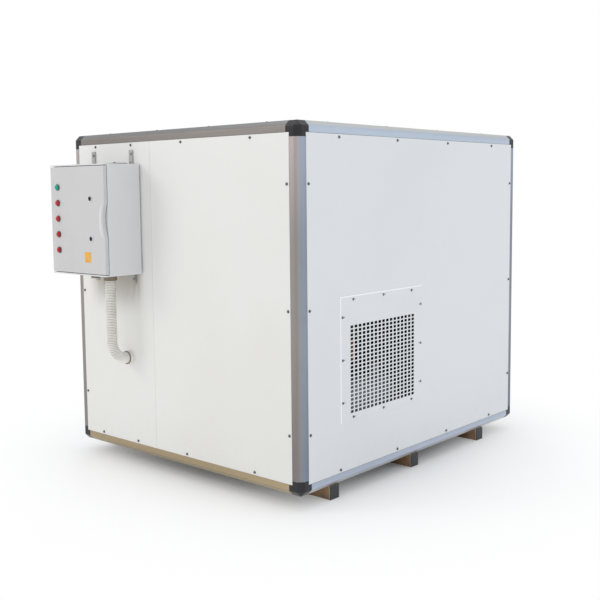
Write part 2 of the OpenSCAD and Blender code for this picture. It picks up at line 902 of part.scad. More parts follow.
// Plates over the unused cable openings in the top of the box
module blanking_plates() {
    color([0.25, 0.26, 0.29]) for (i = [0, 1]) {
        x = bx0 + 120 + i * 150;
        box([x, by_back - 110, bz1], [x + 110, by_back - 50, bz1 + 4]);
        translate([x + 55, by_back - 80, bz1 + 4]) cylinder(r = 6, h = 4, $fn = 6);
    }
}

// Door outline in X and Z, drawn smaller by "inset"
module door_outline(inset) {
    difference() {
        translate([bx0 + inset, door_z0 + inset])
            square([box_w - 2 * inset, door_z1 - door_z0 - 2 * inset]);
        translate([bx1 - notch_d + notch_r, box_z]) circle(r = notch_r + inset);
    }
}

// Stands an X-Z outline up between two depths
module upright(from_y, to_y) {
    translate([0, to_y, 0]) rotate([90, 0, 0]) linear_extrude(to_y - from_y) children();
}

lock_zs = [bz0 + upper_lock_rise, bz0 + lower_lock_rise];
lamp_zs = [for (i = [0:4]) bz0 + lamp_rise - i * lamp_pitch];

module box_door() {
    color("lightgray") difference() {
        upright(by_front, by_rim - door_gap) door_outline(0);
        upright(by_front + box_sheet, by_rim) door_outline(box_sheet);
        for (z = lock_zs) rod([lock_x, by_front - past, z], [0, 1, 0], lock_body_r + snug, door_zone);
        for (z = lamp_zs) rod([lamp_x, by_front - past, z], [0, 1, 0], lamp_body_r + snug, door_zone);
    }
}

module door_gasket() {
    lo = [bx0 + gasket_inset, bz0 + gasket_inset];
    hi = [bx1 - gasket_inset, bz1 - gasket_inset];
    w = [gasket_w, gasket_w];
    color([0.15, 0.15, 0.16]) upright(by_front + box_sheet, by_rim - clear) difference() {
        translate(lo) square(hi - lo);
        translate(lo + w) square(hi - lo - 2 * w);
    }
}

// One hinge leaf with knuckles between pairs of heights, on the box (side 1) or the door (side -1)
module hinge_leaf(z, spans, side, bore_r) {
    y_far = hinge_y + side * 16;
    y_near = hinge_y + side * (knuckle_r + clear);
    y_tab = hinge_y + side * (door_gap / 2 + clear);
    difference() {
        union() {
            box(
                [bx0 - 1.5, min(y_near, y_far), z - hinge_h / 2],
                [bx0, max(y_near, y_far), z + hinge_h / 2]
            );
            for (s = spans) {
                rod([hinge_x, hinge_y, z + s[0]], [0, 0, 1], knuckle_r, s[1] - s[0]);
                box([hinge_x, min(y_near, y_tab), z + s[0]], [bx0, max(y_near, y_tab), z + s[1]]);
            }
        }
        rod([hinge_x, hinge_y, z - hinge_h], [0, 0, 1], bore_r, 2 * hinge_h);
    }
}

// Leaves fixed to the box, with the pins
module box_hinge_leaves() {
    k = hinge_h / 6;
    color("silver") for (rise = hinge_rises) {
        z = bz0 + rise;
        hinge_leaf(z, [[-3 * k, -k], [k, 3 * k]], 1, hinge_pin_r + running);
        rod([hinge_x, hinge_y, z - 3 * k], [0, 0, 1], hinge_pin_r, 6 * k);
        for (end = [-1, 1]) rod([hinge_x, hinge_y, z + end * 3 * k], [0, 0, end], knuckle_r - 1, 2);
    }
}

module door_hinge_leaves() {
    k = hinge_h / 6 - clear;
    color("silver") for (rise = hinge_rises)
        hinge_leaf(bz0 + rise, [[-k, k]], -1, hinge_pin_r + running);
}

module lock_housings() {
    color("silver") for (z = lock_zs) difference() {
        union() {
            rod([lock_x, by_front, z], [0, -1, 0], lock_bezel_r, 3);
            rod([lock_x, by_front, z], [0, 1, 0], lock_body_r, tongue_y - clear - by_front);
            rod([lock_x, by_front + box_sheet, z], [0, 1, 0], lock_bezel_r, 5);
        }
        rod([lock_x, by_front - 3 - past, z], [0, 1, 0], barrel_r + running, 3 + past + door_zone + 5);
    }
}

// Turning barrel with a key slot in front and a tongue behind; the tongue points along Z
module lock_core(z, up) {
    difference() {
        rod([lock_x, by_front - 2, z], [0, 1, 0], barrel_r, tongue_y - by_front + 2 + tongue_t);
        box([lock_x - 1.2, by_front - 2 - past, z - 4.5], [lock_x + 1.2, by_front + 4, z + 4.5]);
    }
    difference() {
        union() {
            rod([lock_x, tongue_y, z], [0, 1, 0], lock_body_r, tongue_t);
            box(
                [lock_x - tongue_w / 2, tongue_y, z + min(0, up * tongue_l)],
                [lock_x + tongue_w / 2, tongue_y + tongue_t, z + max(0, up * tongue_l)]
            );
        }
        rod([lock_x, tongue_y - past, z], [0, 1, 0], barrel_r - 1, tongue_t + 2 * past);
    }
    rod([lock_x, tongue_y, z], [0, 1, 0], barrel_r, tongue_t + 3);
}

module upper_lock() {
    color([0.3, 0.3, 0.32]) lock_core(lock_zs[0], 1);
}

module lower_lock() {
    color([0.3, 0.3, 0.32]) lock_core(lock_zs[1], -1);
}

module lamp_holders() {
    color("gainsboro") for (z = lamp_zs) difference() {
        union() {
            rod([lamp_x, by_front, z], [0, -1, 0], bezel_r, bezel_t);
            rod([lamp_x, by_front, z], [0, 1, 0], lamp_body_r, lamp_depth);
        }
        rod([lamp_x, by_front - bezel_t - past, z], [0, 1, 0], lens_r + snug, bezel_t + past - 1);
    }
}

module lens(z) {
    dome = 8;
    rod([lamp_x, by_front - 1, z], [0, -1, 0], lens_r, bezel_t - 1);
    translate([lamp_x, by_front - bezel_t, z]) facing([0, -1, 0]) intersection() {
        cylinder(r = lens_r, h = dome + past);
        translate([0, 0, dome - dish_r(lens_r, dome)]) sphere(r = dish_r(lens_r, dome));
    }
}

module green_lens() {
    color([0, 0.6, 0.5]) lens(lamp_zs[0]);
}

module red_lenses() {
    color([0.8, 0.1, 0.15]) for (i = [1:4]) lens(lamp_zs[i]);
}

// Plain plate with nothing on it
module blank_plate() {
    color("goldenrod") box([bx1 - 152, by_front - 0.8, bz0 + 60], [bx1 - 106, by_front, bz0 + 106]);
}

// Plate on studs with its two mounting rails and two wiring ducts
module mounting_plate() {
    lo = [bx0 + plate_margin, bz0 + plate_margin];
    hi = [bx1 - plate_margin, bz1 - plate_margin];
    color("silver") {
        box([lo.x, plate_y - plate_t, lo.y], [hi.x, plate_y, hi.y]);
        for (x = [lo.x + 15, hi.x - 15], z = [lo.y + 15, hi.y - 15])
            rod([x, plate_y, z], [0, 1, 0], 6, plate_off);
        for (z = [upper_din_z, lower_din_z]) {
            for (s = [-1, 1]) box(
                [lo.x + 10, gear_y, z + (s < 0 ? -din_h / 2 : din_h / 2 - 6)],
                [hi.x - 10, gear_y + 1, z + (s < 0 ? 6 - din_h / 2 : din_h / 2)]
            );
            for (s = [-1, 1]) box(
                [lo.x + 10, gear_y, z + s * 12 - 0.5],
                [hi.x - 10, plate_y - plate_t, z + s * 12 + 0.5]
            );
        }
    }
    duct_y = plate_y - plate_t - snug;
    color([0.55, 0.57, 0.6]) for (z = [bz0 + 245, bz0 + 432])
        tray([bx0 + 45, duct_y - 45, z - 14], [bx1 - 45, duct_y, z + 14], [0, -1, 0], 1.5);
}

// A rail-mounted device with a stepped front
module rail_device(x, z, w, h, d) {
    box([x, gear_y - d * 0.6, z - h / 2], [x + w, gear_y, z + h / 2]);
    box([x, gear_y - d, z - h / 4], [x + w, gear_y - d * 0.6, z + h / 4]);
}

// Contactors on the upper rail, terminals on the lower one
module control_gear() {
    color([0.3, 0.32, 0.35]) {
        for (i = [0:2]) rail_device(bx0 + 185 + i * 48, upper_din_z, 45, 76, 75);
        for (i = [0:2]) rail_device(bx0 + 50 + i * 30, lower_din_z, 28, 80, 60);
        for (i = [0:16]) rail_device(bx0 + 160 + i * 8.2, lower_din_z, 7.8, 50, 40);
    }
}

module breaker() {
    color([0.88, 0.88, 0.86]) difference() {
        rail_device(breaker_x - breaker_w / 2, upper_din_z, breaker_w, breaker_h, breaker_d);
        rod(
            [breaker_x - 14, toggle_y + toggle_sink, upper_din_z], [1, 0, 0],
            toggle_r + clear, 28
        );
    }
}

// Rocker of the breaker, with its bridge handle; it turns on the X axis
module breaker_toggle() {
    color([0.1, 0.1, 0.12]) translate([breaker_x, toggle_y + toggle_sink, upper_din_z]) {
        rod([-13.6, 0, 0], [1, 0, 0], toggle_r, 27.2);
        rotate([30, 0, 0]) box([-13.6, -toggle_r - 9, -3], [13.6, 0, 3]);
    }
}

// Gland under the box, power-inlet gland beside it, and the bushing in the cabinet's wall
module conduit_fittings() {
    color("whitesmoke") {
        difference() {
            union() {
                rod([hose_x, hose_y, bz0], [0, 0, -1], gland_r, gland_h);
                rod([hose_x, hose_y, bz0 + box_sheet], [0, 0, 1], gland_r, 6);
            }
            rod([hose_x, hose_y, bz0 - gland_h - past], [0, 0, 1], hose_r + snug, gland_h + 12);
        }
        difference() {
            union() {
                rod([inlet_x, hose_y, bz0], [0, 0, -1], inlet_gland_r, 22);
                rod([inlet_x, hose_y, bz0], [0, 0, 1], inlet_bore_r + 4, 10);
            }
            rod([inlet_x, hose_y, bz0 - 22 - past], [0, 0, 1], inlet_bore_r, 34);
        }
        difference() {
            union() {
                rod([hose_x, y0, entry_z], [0, -1, 0], gland_r, bushing_reach);
                rod([hose_x, y0, entry_z], [0, 1, 0], neck_r, panel_t);
            }
            rod(
                [hose_x, y0 - bushing_reach - past, entry_z], [0, 1, 0],
                hose_r + snug, bushing_reach + past - 4
            );
            rod([hose_x, y0 - 6, entry_z], [0, 1, 0], hose_r - hose_wall, panel_t + 6 + past);
        }
    }
}

module conduit() {
    color("whitesmoke") bent_tube(
        [
            [hose_x, hose_y, bz0 + box_sheet + 6],
            [hose_x, hose_y, entry_z],
            [hose_x, y0 - 5, entry_z]
        ],
        hose_r, hose_wall, hose_bend
    );
}

// Round ports in the exchangers, a little wider than their pipes
module exchanger_ports(fit) {
    rod([0, shell_y0 + past, pre_z], [0, -1, 0], pipe_r + fit, dish + 20);
    rod([0, shell_y1 - past, pre_z], [0, 1, 0], pipe_r + fit, dish + 20);
    rod([0, outlet_y, pre_z], [1, 0, 0], pipe_r + fit, wrap_r + past);
    rod([0, sep_y, pre_z], [-1, 0, 0], pipe_r + fit, wrap_r + past);
    rod([0, shell_y0 + past, evap_z], [0, -1, 0], pipe_r + fit, dish + 20);
    rod([0, sep_y, evap_z], [0, 0, -1], pipe_r + fit, wrap_r + past);
    rod([0, king_y, evap_z], [1, 0, 0], line_r + fit, wrap_r + past);
    rod([0, suction_y, evap_z], [1, 0, 0], suction_r + fit, wrap_r + past);
}

module exchanger(z) {
    difference() {
        translate([0, shell_y0, z]) rotate([-90, 0, 0]) vessel(shell_r, shell_l, dish, shell_wall);
        exchanger_ports(snug);
    }
}

module precooler() {
    color("slategray") exchanger(pre_z);
}

module evaporator() {
    color("slategray") exchanger(evap_z);
}

module vessel_wraps() {
    color([0.1, 0.1, 0.1]) difference() {
        for (z = [pre_z, evap_z]) rod([0, shell_y0, z], [0, 1, 0], wrap_r, shell_l);
        for (z = [pre_z, evap_z]) rod([0, shell_y0 - past, z], [0, 1, 0], shell_r + snug, shell_l + 2 * past);
        exchanger_ports(1);
    }
}

// Posts and saddle beams, bolted together with a hair's gap
module vessel_stand() {
    color("steelblue") for (y = stand_ys) {
        for (s = [-1, 1]) translate([s * (post_x + post_w / 2), y, floor_top]) difference() {
            translate([-post_w / 2, -post_w / 2, 0]) cube([post_w, post_w, pre_z - floor_top]);
            translate([3 - post_w / 2, 3 - post_w / 2, -past])
                cube([post_w - 6, post_w - 6, pre_z - floor_top + 2 * past]);
        }
        for (z = [evap_z, pre_z]) difference() {
            box(
                [-post_x + snug, y - post_w / 2, z - wrap_r - saddle_drop],
                [post_x - snug, y + post_w / 2, z - wrap_r - saddle_drop + saddle_h]
            );
            rod([0, y - post_w, z], [0, 1, 0], wrap_r + snug, 2 * post_w);
        }
    }
}

module moisture_separator() {
    color("slategray") difference() {
        union() {
            translate([0, sep_y, sep_z0]) vessel(separator_r, sep_z1 - sep_z0, sep_dish, shell_wall);
            for (a = [30, 150, 270]) translate([0, sep_y, floor_top]) rotate([0, 0, a])
                translate([separator_r - leg_weld, -leg_w / 2, 0])
                    cube([leg_t, leg_w, sep_z0 + leg_lap - floor_top]);
        }
        rod([0, sep_y, sep_z1], [0, 0, 1], pipe_r + snug, sep_dish + 20);
        rod([0, sep_y, sep_z0], [0, 0, -1], drain_r + snug, sep_dish + 20);
        rod([0, sep_y, sep_port_z], [-1, 0, 0], pipe_r + snug, separator_r + past);
    }
}

// Round flange with its bolt holes, from y back by its thickness
module air_flange(x) {
    difference() {
        rod([x, air_end_y, pre_z], [0, -1, 0], air_flange_r, air_flange_t);
        for (i = [0:flange_bolts - 1]) {
            a = 360 / flange_bolts * (i + 0.5);
            rod(
                [x + flange_bolt_pcr * cos(a), air_end_y + past, pre_z + flange_bolt_pcr * sin(a)],
                [0, -1, 0], flange_bolt_r, air_flange_t + 2 * past
            );
        }
        rod([x, air_end_y + past, pre_z], [0, -1, 0], pipe_r - pipe_wall, air_flange_t + 2 * past);
    }
}

module air_inlet_pipe() {
    color("slategray") {
        air_flange(0);
        bent_tube([[0, shell_y1 + dish - 12, pre_z], [0, air_end_y, pre_z]], pipe_r, pipe_wall, pipe_bend);
    }
}

module air_outlet_pipe() {
    color("slategray") {
        air_flange(outlet_offset);
        bent_tube(
            [
                [shell_r - 10, outlet_y, pre_z],
                [outlet_offset, outlet_y, pre_z],
                [outlet_offset, air_end_y, pre_z]
            ],
            pipe_r, pipe_wall, pipe_bend
        );
    }
}

// Crossover between the exchangers, drop into the separator, and return to the precooler
module inner_air_pipes() {
    head_y = shell_y0 - dish + 12;
    color("slategray") {
        bent_tube(
            [[0, head_y, pre_z], [0, turn_y, pre_z], [0, turn_y, evap_z], [0, head_y, evap_z]],
            pipe_r, pipe_wall, pipe_bend
        );
        bent_tube(
            [[0, sep_y, evap_z - shell_r + 10], [0, sep_y, sep_z1 + sep_dish - 14]],
            pipe_r, pipe_wall, pipe_bend
        );
        bent_tube(
            [
                [10 - shell_r, sep_y, pre_z], [return_x, sep_y, pre_z],
                [return_x, sep_y, sep_port_z], [8 - separator_r, sep_y, sep_port_z]
            ],
            pipe_r, pipe_wall, pipe_bend
        );
    }
}

// Drain pipe, ball valve body and outlet stub
module drain_line() {
    color("goldenrod") {
        bent_tube(
            [[0, sep_y, sep_z0 - sep_dish + 8], [0, sep_y, drain_z], [0, valve_y - 24, drain_z]],
            drain_r, drain_r - drain_bore_r, drain_bend
        );
        difference() {
            union() {
                rod([0, valve_y - 24, drain_z], [0, 1, 0], valve_body_r, 48);
                rod([0, valve_y, drain_z], [0, 0, 1], stem_r + 4, valve_body_r + 6);
            }
            translate([0, valve_y, drain_z]) sphere(r = ball_r + clear);
            rod([0, valve_y - 24 - past, drain_z], [0, 1, 0], drain_bore_r, 48 + 2 * past);
            rod([0, valve_y, drain_z], [0, 0, 1], stem_r + running, valve_body_r + 6 + past);
        }
        bent_tube(
            [[0, valve_y + 24, drain_z], [0, auto_y - 30, drain_z]],
            drain_r, drain_r - drain_bore_r, drain_bend
        );
        difference() {
            union() {
                rod([0, auto_y + 30, drain_z], [0, 1, 0], drain_r, drain_end_y - auto_y - 30);
                rod([0, y1, drain_z], [0, 1, 0], drain_collar_r, drain_collar_t);
            }
            rod([0, auto_y + 30 - past, drain_z], [0, 1, 0], drain_bore_r, drain_end_y - auto_y);
        }
    }
}

// Ball, stem and lever of the drain valve; the lever lies along the pipe when it is open
module drain_handle() {
    top = drain_z + valve_body_r + 6 + clear;
    color("crimson") {
        difference() {
            union() {
                translate([0, valve_y, drain_z]) sphere(r = ball_r);
                rod([0, valve_y, drain_z], [0, 0, 1], stem_r, top + 4 - drain_z);
            }
            rod([0, valve_y - ball_r - past, drain_z], [0, 1, 0], drain_bore_r, 2 * ball_r + 2 * past);
        }
        box([-7, valve_y - lever_l, top], [7, valve_y + 10, top + 3]);
    }
}

module auto_drain() {
    color([0.15, 0.16, 0.2]) difference() {
        union() {
            box([-28, auto_y - 30, floor_top], [28, auto_y + 30, drain_z + 26]);
            rod([0, auto_y, drain_z + 26], [0, 0, 1], 19, 46);
        }
        rod([0, auto_y - 30 - past, drain_z], [0, 1, 0], drain_bore_r, 60 + 2 * past);
    }
}

// Compressor shell on its base plate, with its terminal box and ports
module compressor() {
    color([0.12, 0.12, 0.13]) difference() {
        union() {
            translate([comp_x, comp_y, comp_z0 + comp_dish])
                dished_bar(compressor_r, compressor_h - comp_dish, comp_dish);
            box(
                [comp_x - foot_span - 25, comp_y - foot_span - 25, comp_z0 - 6],
                [comp_x + foot_span + 25, comp_y + foot_span + 25, comp_z0 + 6]
            );
            rod([comp_x, comp_y, comp_z0], [0, 0, 1], compressor_r - 25, 60);
            box(
                [comp_x - 45, comp_y - compressor_r - 50, comp_z0 + 190],
                [comp_x + 45, comp_y - compressor_r + 30, comp_z0 + 300]
            );
            rod([comp_x, comp_y, suction_z], [-1, 0, 0], suction_r + 6, compressor_r + 12);
            rod([comp_x, comp_y, comp_top - 60], [0, 0, 1], line_r + 6, 76);
        }
        translate([comp_x, comp_y, comp_z0 + 60])
            dished_bar(compressor_r - 45, compressor_h - 120, comp_dish - 20);
        rod([comp_x - compressor_r - 13, comp_y, suction_z], [1, 0, 0], suction_r + snug, 26);
        rod([comp_x, comp_y, comp_top + 17], [0, 0, -1], line_r + snug, 24);
        for (sx = [-1, 1], sy = [-1, 1]) {
            p = [comp_x + sx * foot_span, comp_y + sy * foot_span, comp_z0 - 6 - past];
            rod(p, [0, 0, 1], 6, 12 + 2 * past);
        }
    }
}

module compressor_feet() {
    color([0.1, 0.1, 0.1]) for (sx = [-1, 1], sy = [-1, 1]) {
        p = [comp_x + sx * foot_span, comp_y + sy * foot_span, floor_top];
        difference() {
            union() {
                rod(p, [0, 0, 1], foot_r, foot_h);
                rod(p, [0, 0, 1], 6 - snug, foot_h + 16);
            }
            rod(p - [0, 0, past], [0, 0, 1], 4, foot_h + 16 + 2 * past);
        }
    }
}

// Liquid receiver on two saddles, with its service valve
module liquid_receiver() {
    color("gainsboro") {
        difference() {
            translate([rec_x, rec_y0, rec_z]) rotate([-90, 0, 0])
                vessel(receiver_r, receiver_l, rec_dish, shell_wall);
            rod([rec_x, king_y, rec_z], [0, 0, 1], line_r, receiver_r + past);
            rod([rec_x, king_y, rec_z], [1, 0, 0], line_r + snug, receiver_r + past);
        }
        for (y = [rec_y0 + 90, rec_y1 - 110]) difference() {
            box([rec_x - 80, y - 15, floor_top], [rec_x + 80, y + 15, rec_z - 50]);
            rod([rec_x, y - 15 - past, rec_z], [0, 1, 0], receiver_r - 1, 30 + 2 * past);
        }
        difference() {
            union() {
                rod([rec_x, king_y, king_z - 4], [0, 0, 1], 18, king_h);
                rod([rec_x, king_y, king_z + 22], [-1, 0, 0], 15, 34);
            }
            rod([rec_x, king_y, king_z - 4 - past], [0, 0, 1], line_r - 3, 22);
            rod([rec_x, king_y, king_z + 10], [0, 0, 1], stem_r + running, king_h);
            rod([rec_x - 34 - past, king_y, king_z + 22], [1, 0, 0], line_r + snug, 16 + past);
        }
    }
}

// Stem and handwheel of the receiver's service valve
module receiver_handwheel() {
    top = king_z - 4 + king_h + clear;
    color("crimson") {
        rod([rec_x, king_y, king_z + 12], [0, 0, 1], stem_r, top + 16 - king_z - 12);
        translate([rec_x, king_y, top]) {
            rotate_extrude() translate([wheel_r, 6]) circle(r = 4);
            for (a = [0, 60, 120]) rotate([0, 0, a]) translate([-wheel_r, -3, 3]) cube([2 * wheel_r, 6, 5]);
            cylinder(r = 9, h = 12);
        }
    }
}

module filter_drier() {
    color("midnightblue") translate([liquid_x, king_y, drier_z0]) difference() {
        union() {
            translate([0, 0, 14]) dished_bar(drier_r, drier_z1 - drier_z0 - 28, 14);
            cylinder(r = line_r + 3, h = drier_z1 - drier_z0);
        }
        for (end = [0, 1]) translate([0, 0, end * (drier_z1 - drier_z0)]) mirror([0, 0, end])
            translate([0, 0, -past]) cylinder(r = line_r + snug, h = 8 + past);
    }
}

// Thermostatic expansion valve with its power head
module expansion_valve() {
    color("goldenrod") translate([wrap_r + 62, king_y, evap_z]) difference() {
        union() {
            translate([-18, -16, -18]) cube([36, 32, 44]);
            translate([0, 0, 26]) cylinder(r = 11, h = 14);
            translate([0, 0, 40]) cylinder(r = 27, h = 9);
        }
        for (s = [-1, 1]) rod([s * 18, 0, 0] + [s * past, 0, 0], [-s, 0, 0], line_r + snug, 8 + past);
    }
}

// Copper lines: discharge, suction, condensate, and liquid to the expansion valve
module refrigerant_lines() {
    wall = 1.2;
    tube_x = fin_x;
    evap_side = shell_r - 8;
    side_x = rec_x + receiver_r + 40;
    valve_x = wrap_r + 62;
    cross_z = (pre_z + evap_z) / 2;
    color("darkgoldenrod") {
        bent_tube(
            [
                [comp_x, comp_y, comp_top - 6], [comp_x, comp_y, cross_z], [comp_x, line_y, cross_z],
                [tube_x, line_y, cross_z], [tube_x, line_y, tube_z(tube_count - 1)],
                [tube_x, tube_end_y, tube_z(tube_count - 1)]
            ],
            line_r, wall, line_bend
        );
        bent_tube(
            [
                [evap_side, suction_y, evap_z], [suction_x, suction_y, evap_z],
                [suction_x, comp_y, evap_z], [suction_x, comp_y, suction_z],
                [comp_x - compressor_r, comp_y, suction_z]
            ],
            suction_r, wall, line_bend
        );
        bent_tube(
            [
                [tube_x, tube_end_y, tube_z(0)], [tube_x, line_y, tube_z(0)],
                [side_x, line_y, tube_z(0)], [side_x, king_y, tube_z(0)],
                [side_x, king_y, rec_z], [rec_x + receiver_r - 3, king_y, rec_z]
            ],
            line_r, wall, line_bend
        );
        bent_tube(
            [
                [rec_x - 20, king_y, king_z + 22], [liquid_x, king_y, king_z + 22],
                [liquid_x, king_y, drier_z0 + 6]
            ],
            line_r, wall, line_bend
        );
        bent_tube(
            [[liquid_x, king_y, drier_z1 - 6], [liquid_x, king_y, evap_z], [valve_x + 11, king_y, evap_z]],
            line_r, wall, line_bend
        );
        bent_tube([[valve_x - 11, king_y, evap_z], [evap_side, king_y, evap_z]], line_r, wall, line_bend);
    }
}

function tube_z(i) = fin_z0 + tube_pitch * (i + 0.5);

module tube_holes(r) {
    for (i = [0:tube_count - 1]) translate([0, tube_z(i)]) circle(r = r);
}

// Thin plates across the tubes
module condenser_fins() {
    color("silver") for (i = [0:fin_count - 1]) {
        y = fin_y0 + i * fin_pitch;
        translate([fin_x, 0, 0]) upright(y, y + fin_t) difference() {
            translate([-fin_depth / 2, fin_z0]) square([fin_depth, fin_z1 - fin_z0]);
            tube_holes(tube_r + snug);
        }
    }
}

// One long tube that runs to and fro through the fins
module condenser_tubes() {
    turn_front = end_y0 - 12;
    turn_rear = end_y1 + 12;
    color("peru") {
        for (i = [0:tube_count - 1]) {
            last = i == 0 || i == tube_count - 1;
            far_end = last ? tube_end_y - 2 : turn_rear;
            rod([fin_x, turn_front, tube_z(i)], [0, 1, 0], tube_r, far_end - turn_front);
        }
        for (i = [0:tube_count - 2]) {
            front = i % 2 == 0;
            translate([fin_x, front ? turn_front : turn_rear, (tube_z(i) + tube_z(i + 1)) / 2])
                rotate([0, 90, 0]) rotate([0, 0, front ? -180 : 0])
                    rotate_extrude(angle = 180) translate([tube_pitch / 2, 0]) circle(r = tube_r);
        }
    }
}

// Fan plate with the two fan rings, then the duct's walls; the end walls stand on the floor
module fan_shroud() {
    half = fin_depth / 2;
    t = end_plate_t;
    color("lightgray") {
        difference() {
            union() {
                box([shroud_x, end_y0, fin_z0 - t], [shroud_x + t, end_y1, fin_z1 + t]);
                for (y = fan_ys) rod([x0 - 1, y, fan_z], [1, 0, 0], fan_r + ring_wall, ring_depth);
            }
            for (y = fan_ys) rod([x0 - 1 - past, y, fan_z], [1, 0, 0], fan_r, ring_depth + 2 * past);
        }
        for (z = [fin_z0 - t, fin_z1])
            box([shroud_x + t + snug, end_y0 + t + snug, z], [fin_x + half, end_y1 - t - snug, z + t]);
        difference() {
            for (y = [end_y0, end_y1 - t]) {
                box([shroud_x + t + snug, y, fin_z0 - t], [fin_x + half, y + t, fin_z1 + t]);
                box([fin_x - half, y, floor_top], [fin_x + half, y + t, fin_z0]);
            }
            translate([fin_x, 0, 0]) upright(end_y0 - past, end_y1 + past) tube_holes(tube_r + snug);
        }
    }
}

// Wire guard with the fan's fixed motor part and shaft
module fan_mounts() {
    outer = fan_r + guard_rim;
    rings = floor((fan_r - stator_r) / guard_pitch);
    color([0.2, 0.2, 0.22]) for (y = fan_ys) translate([x0 - 1 - guard_t, y, fan_z]) facing([1, 0, 0]) {
        linear_extrude(guard_t) {
            difference() {
                circle(r = outer);
                circle(r = fan_r - 4);
            }
            circle(r = stator_r + 8);
            for (i = [1:rings]) difference() {
                circle(r = stator_r + i * guard_pitch);
                circle(r = stator_r + i * guard_pitch - 4);
            }
            for (a = [0:45:135]) rotate(a) square([2 * fan_r, 8], center = true);
        }
        cylinder(r = stator_r, h = guard_t + 30);
        cylinder(r = shaft_r, h = hub_x - x0 + hub_t / 2 + guard_t);
        for (a = [22.5:90:292.5]) rotate(a) translate([outer - 9, 0, -3]) cylinder(r = 5, h = 3, $fn = 6);
    }
}

// Hub with pitched blades; the tips are cut to the ring's curve
module fan_wheel(y) {
    tip_r = fan_r - tip_gap;
    translate([hub_x, y, fan_z]) facing([1, 0, 0]) difference() {
        union() {
            translate([0, 0, -hub_t / 2]) cylinder(r = hub_r, h = hub_t);
            intersection() {
                translate([0, 0, -hub_t]) cylinder(r = tip_r, h = 2 * hub_t);
                for (i = [0:blade_count - 1]) rotate(360 / blade_count * i) rotate([0, blade_angle, 0])
                    translate([0, 0, -blade_t / 2]) linear_extrude(blade_t)
                        polygon([[-38, 55], [38, 55], [75, fan_r + 20], [-75, fan_r + 20]]);
            }
        }
        translate([0, 0, -hub_t]) cylinder(r = shaft_r + running, h = 2 * hub_t);
    }
}

module front_fan() {
    color([0.18, 0.18, 0.2]) fan_wheel(fan_ys[0]);
}

module rear_fan() {
    color([0.18, 0.18, 0.2]) fan_wheel(fan_ys[1]);
}

skids();
skid_end_caps();
base_rails();
corner_posts();
top_rails();
corner_blocks();
floor_plate();
front_panel_left();
front_panel_right();
right_panel();
rear_panel();
left_panel();
roof_panel();
acoustic_lining();
panel_screws();
intake_grille();
control_box();
mounting_strips();
blanking_plates();
box_door();
door_gasket();
box_hinge_leaves();
door_hinge_leaves();
lock_housings();
upper_lock();
lower_lock();
lamp_holders();
green_lens();
red_lenses();
blank_plate();
mounting_plate();
control_gear();
breaker();
breaker_toggle();
conduit_fittings();
conduit();
precooler();
evaporator();
vessel_wraps();
vessel_stand();
moisture_separator();
air_inlet_pipe();
air_outlet_pipe();
inner_air_pipes();
drain_line();
drain_handle();
auto_drain();
compressor();
compressor_feet();
liquid_receiver();
receiver_handwheel();
filter_drier();
expansion_valve();
refrigerant_lines();
condenser_fins();
condenser_tubes();
fan_shroud();
fan_mounts();
front_fan();
rear_fan();
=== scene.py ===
import math

import bmesh
import bpy
from mathutils import Matrix, Vector


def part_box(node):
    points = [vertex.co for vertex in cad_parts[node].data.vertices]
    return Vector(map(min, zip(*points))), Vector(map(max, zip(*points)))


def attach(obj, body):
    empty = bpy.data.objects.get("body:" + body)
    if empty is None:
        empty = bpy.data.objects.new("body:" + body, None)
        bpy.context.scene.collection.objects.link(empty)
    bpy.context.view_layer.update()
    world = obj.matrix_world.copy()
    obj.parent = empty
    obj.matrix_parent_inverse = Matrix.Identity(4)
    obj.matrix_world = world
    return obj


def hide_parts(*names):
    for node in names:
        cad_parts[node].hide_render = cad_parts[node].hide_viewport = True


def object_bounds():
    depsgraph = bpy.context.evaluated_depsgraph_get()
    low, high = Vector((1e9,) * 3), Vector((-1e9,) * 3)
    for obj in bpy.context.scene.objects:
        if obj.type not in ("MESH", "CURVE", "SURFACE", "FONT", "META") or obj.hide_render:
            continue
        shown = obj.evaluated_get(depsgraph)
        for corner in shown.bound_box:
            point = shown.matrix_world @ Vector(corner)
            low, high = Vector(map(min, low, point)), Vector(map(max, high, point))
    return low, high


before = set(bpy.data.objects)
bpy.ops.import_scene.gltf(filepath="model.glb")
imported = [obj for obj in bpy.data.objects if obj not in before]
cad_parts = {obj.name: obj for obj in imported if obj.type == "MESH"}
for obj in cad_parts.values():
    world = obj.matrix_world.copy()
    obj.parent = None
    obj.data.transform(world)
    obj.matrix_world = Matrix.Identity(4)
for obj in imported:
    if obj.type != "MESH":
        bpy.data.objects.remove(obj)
cad_low, cad_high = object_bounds()


# ---------------------------------------------------------------- camera
# A long lens stands at chest height off the corner between the control box side and the
# intake side, so both walls run away from the near post.
eye = Vector((3.069, -3.483, 1.288))
yaw = math.radians(131.29)
pitch = math.radians(-5.55)
roll = math.radians(-0.56)
sight = Vector((math.cos(pitch) * math.cos(yaw), math.cos(pitch) * math.sin(yaw), math.sin(pitch)))
level_right = Vector((math.sin(yaw), -math.cos(yaw), 0))
level_up = level_right.cross(sight)
lens_right = math.cos(roll) * level_right + math.sin(roll) * level_up
lens_up = math.cos(roll) * level_up - math.sin(roll) * level_right
camera_data = bpy.data.cameras.new("camera")
camera_data.sensor_width = 36
camera_data.lens = 54.9
camera_data.shift_x = 0.0017
camera_data.shift_y = -0.035
camera = bpy.data.objects.new("camera", camera_data)
turn = Matrix((lens_right, lens_up, -sight)).transposed().to_4x4()
camera.matrix_world = Matrix.Translation(eye) @ turn
bpy.context.scene.collection.objects.link(camera)
bpy.context.scene.camera = camera


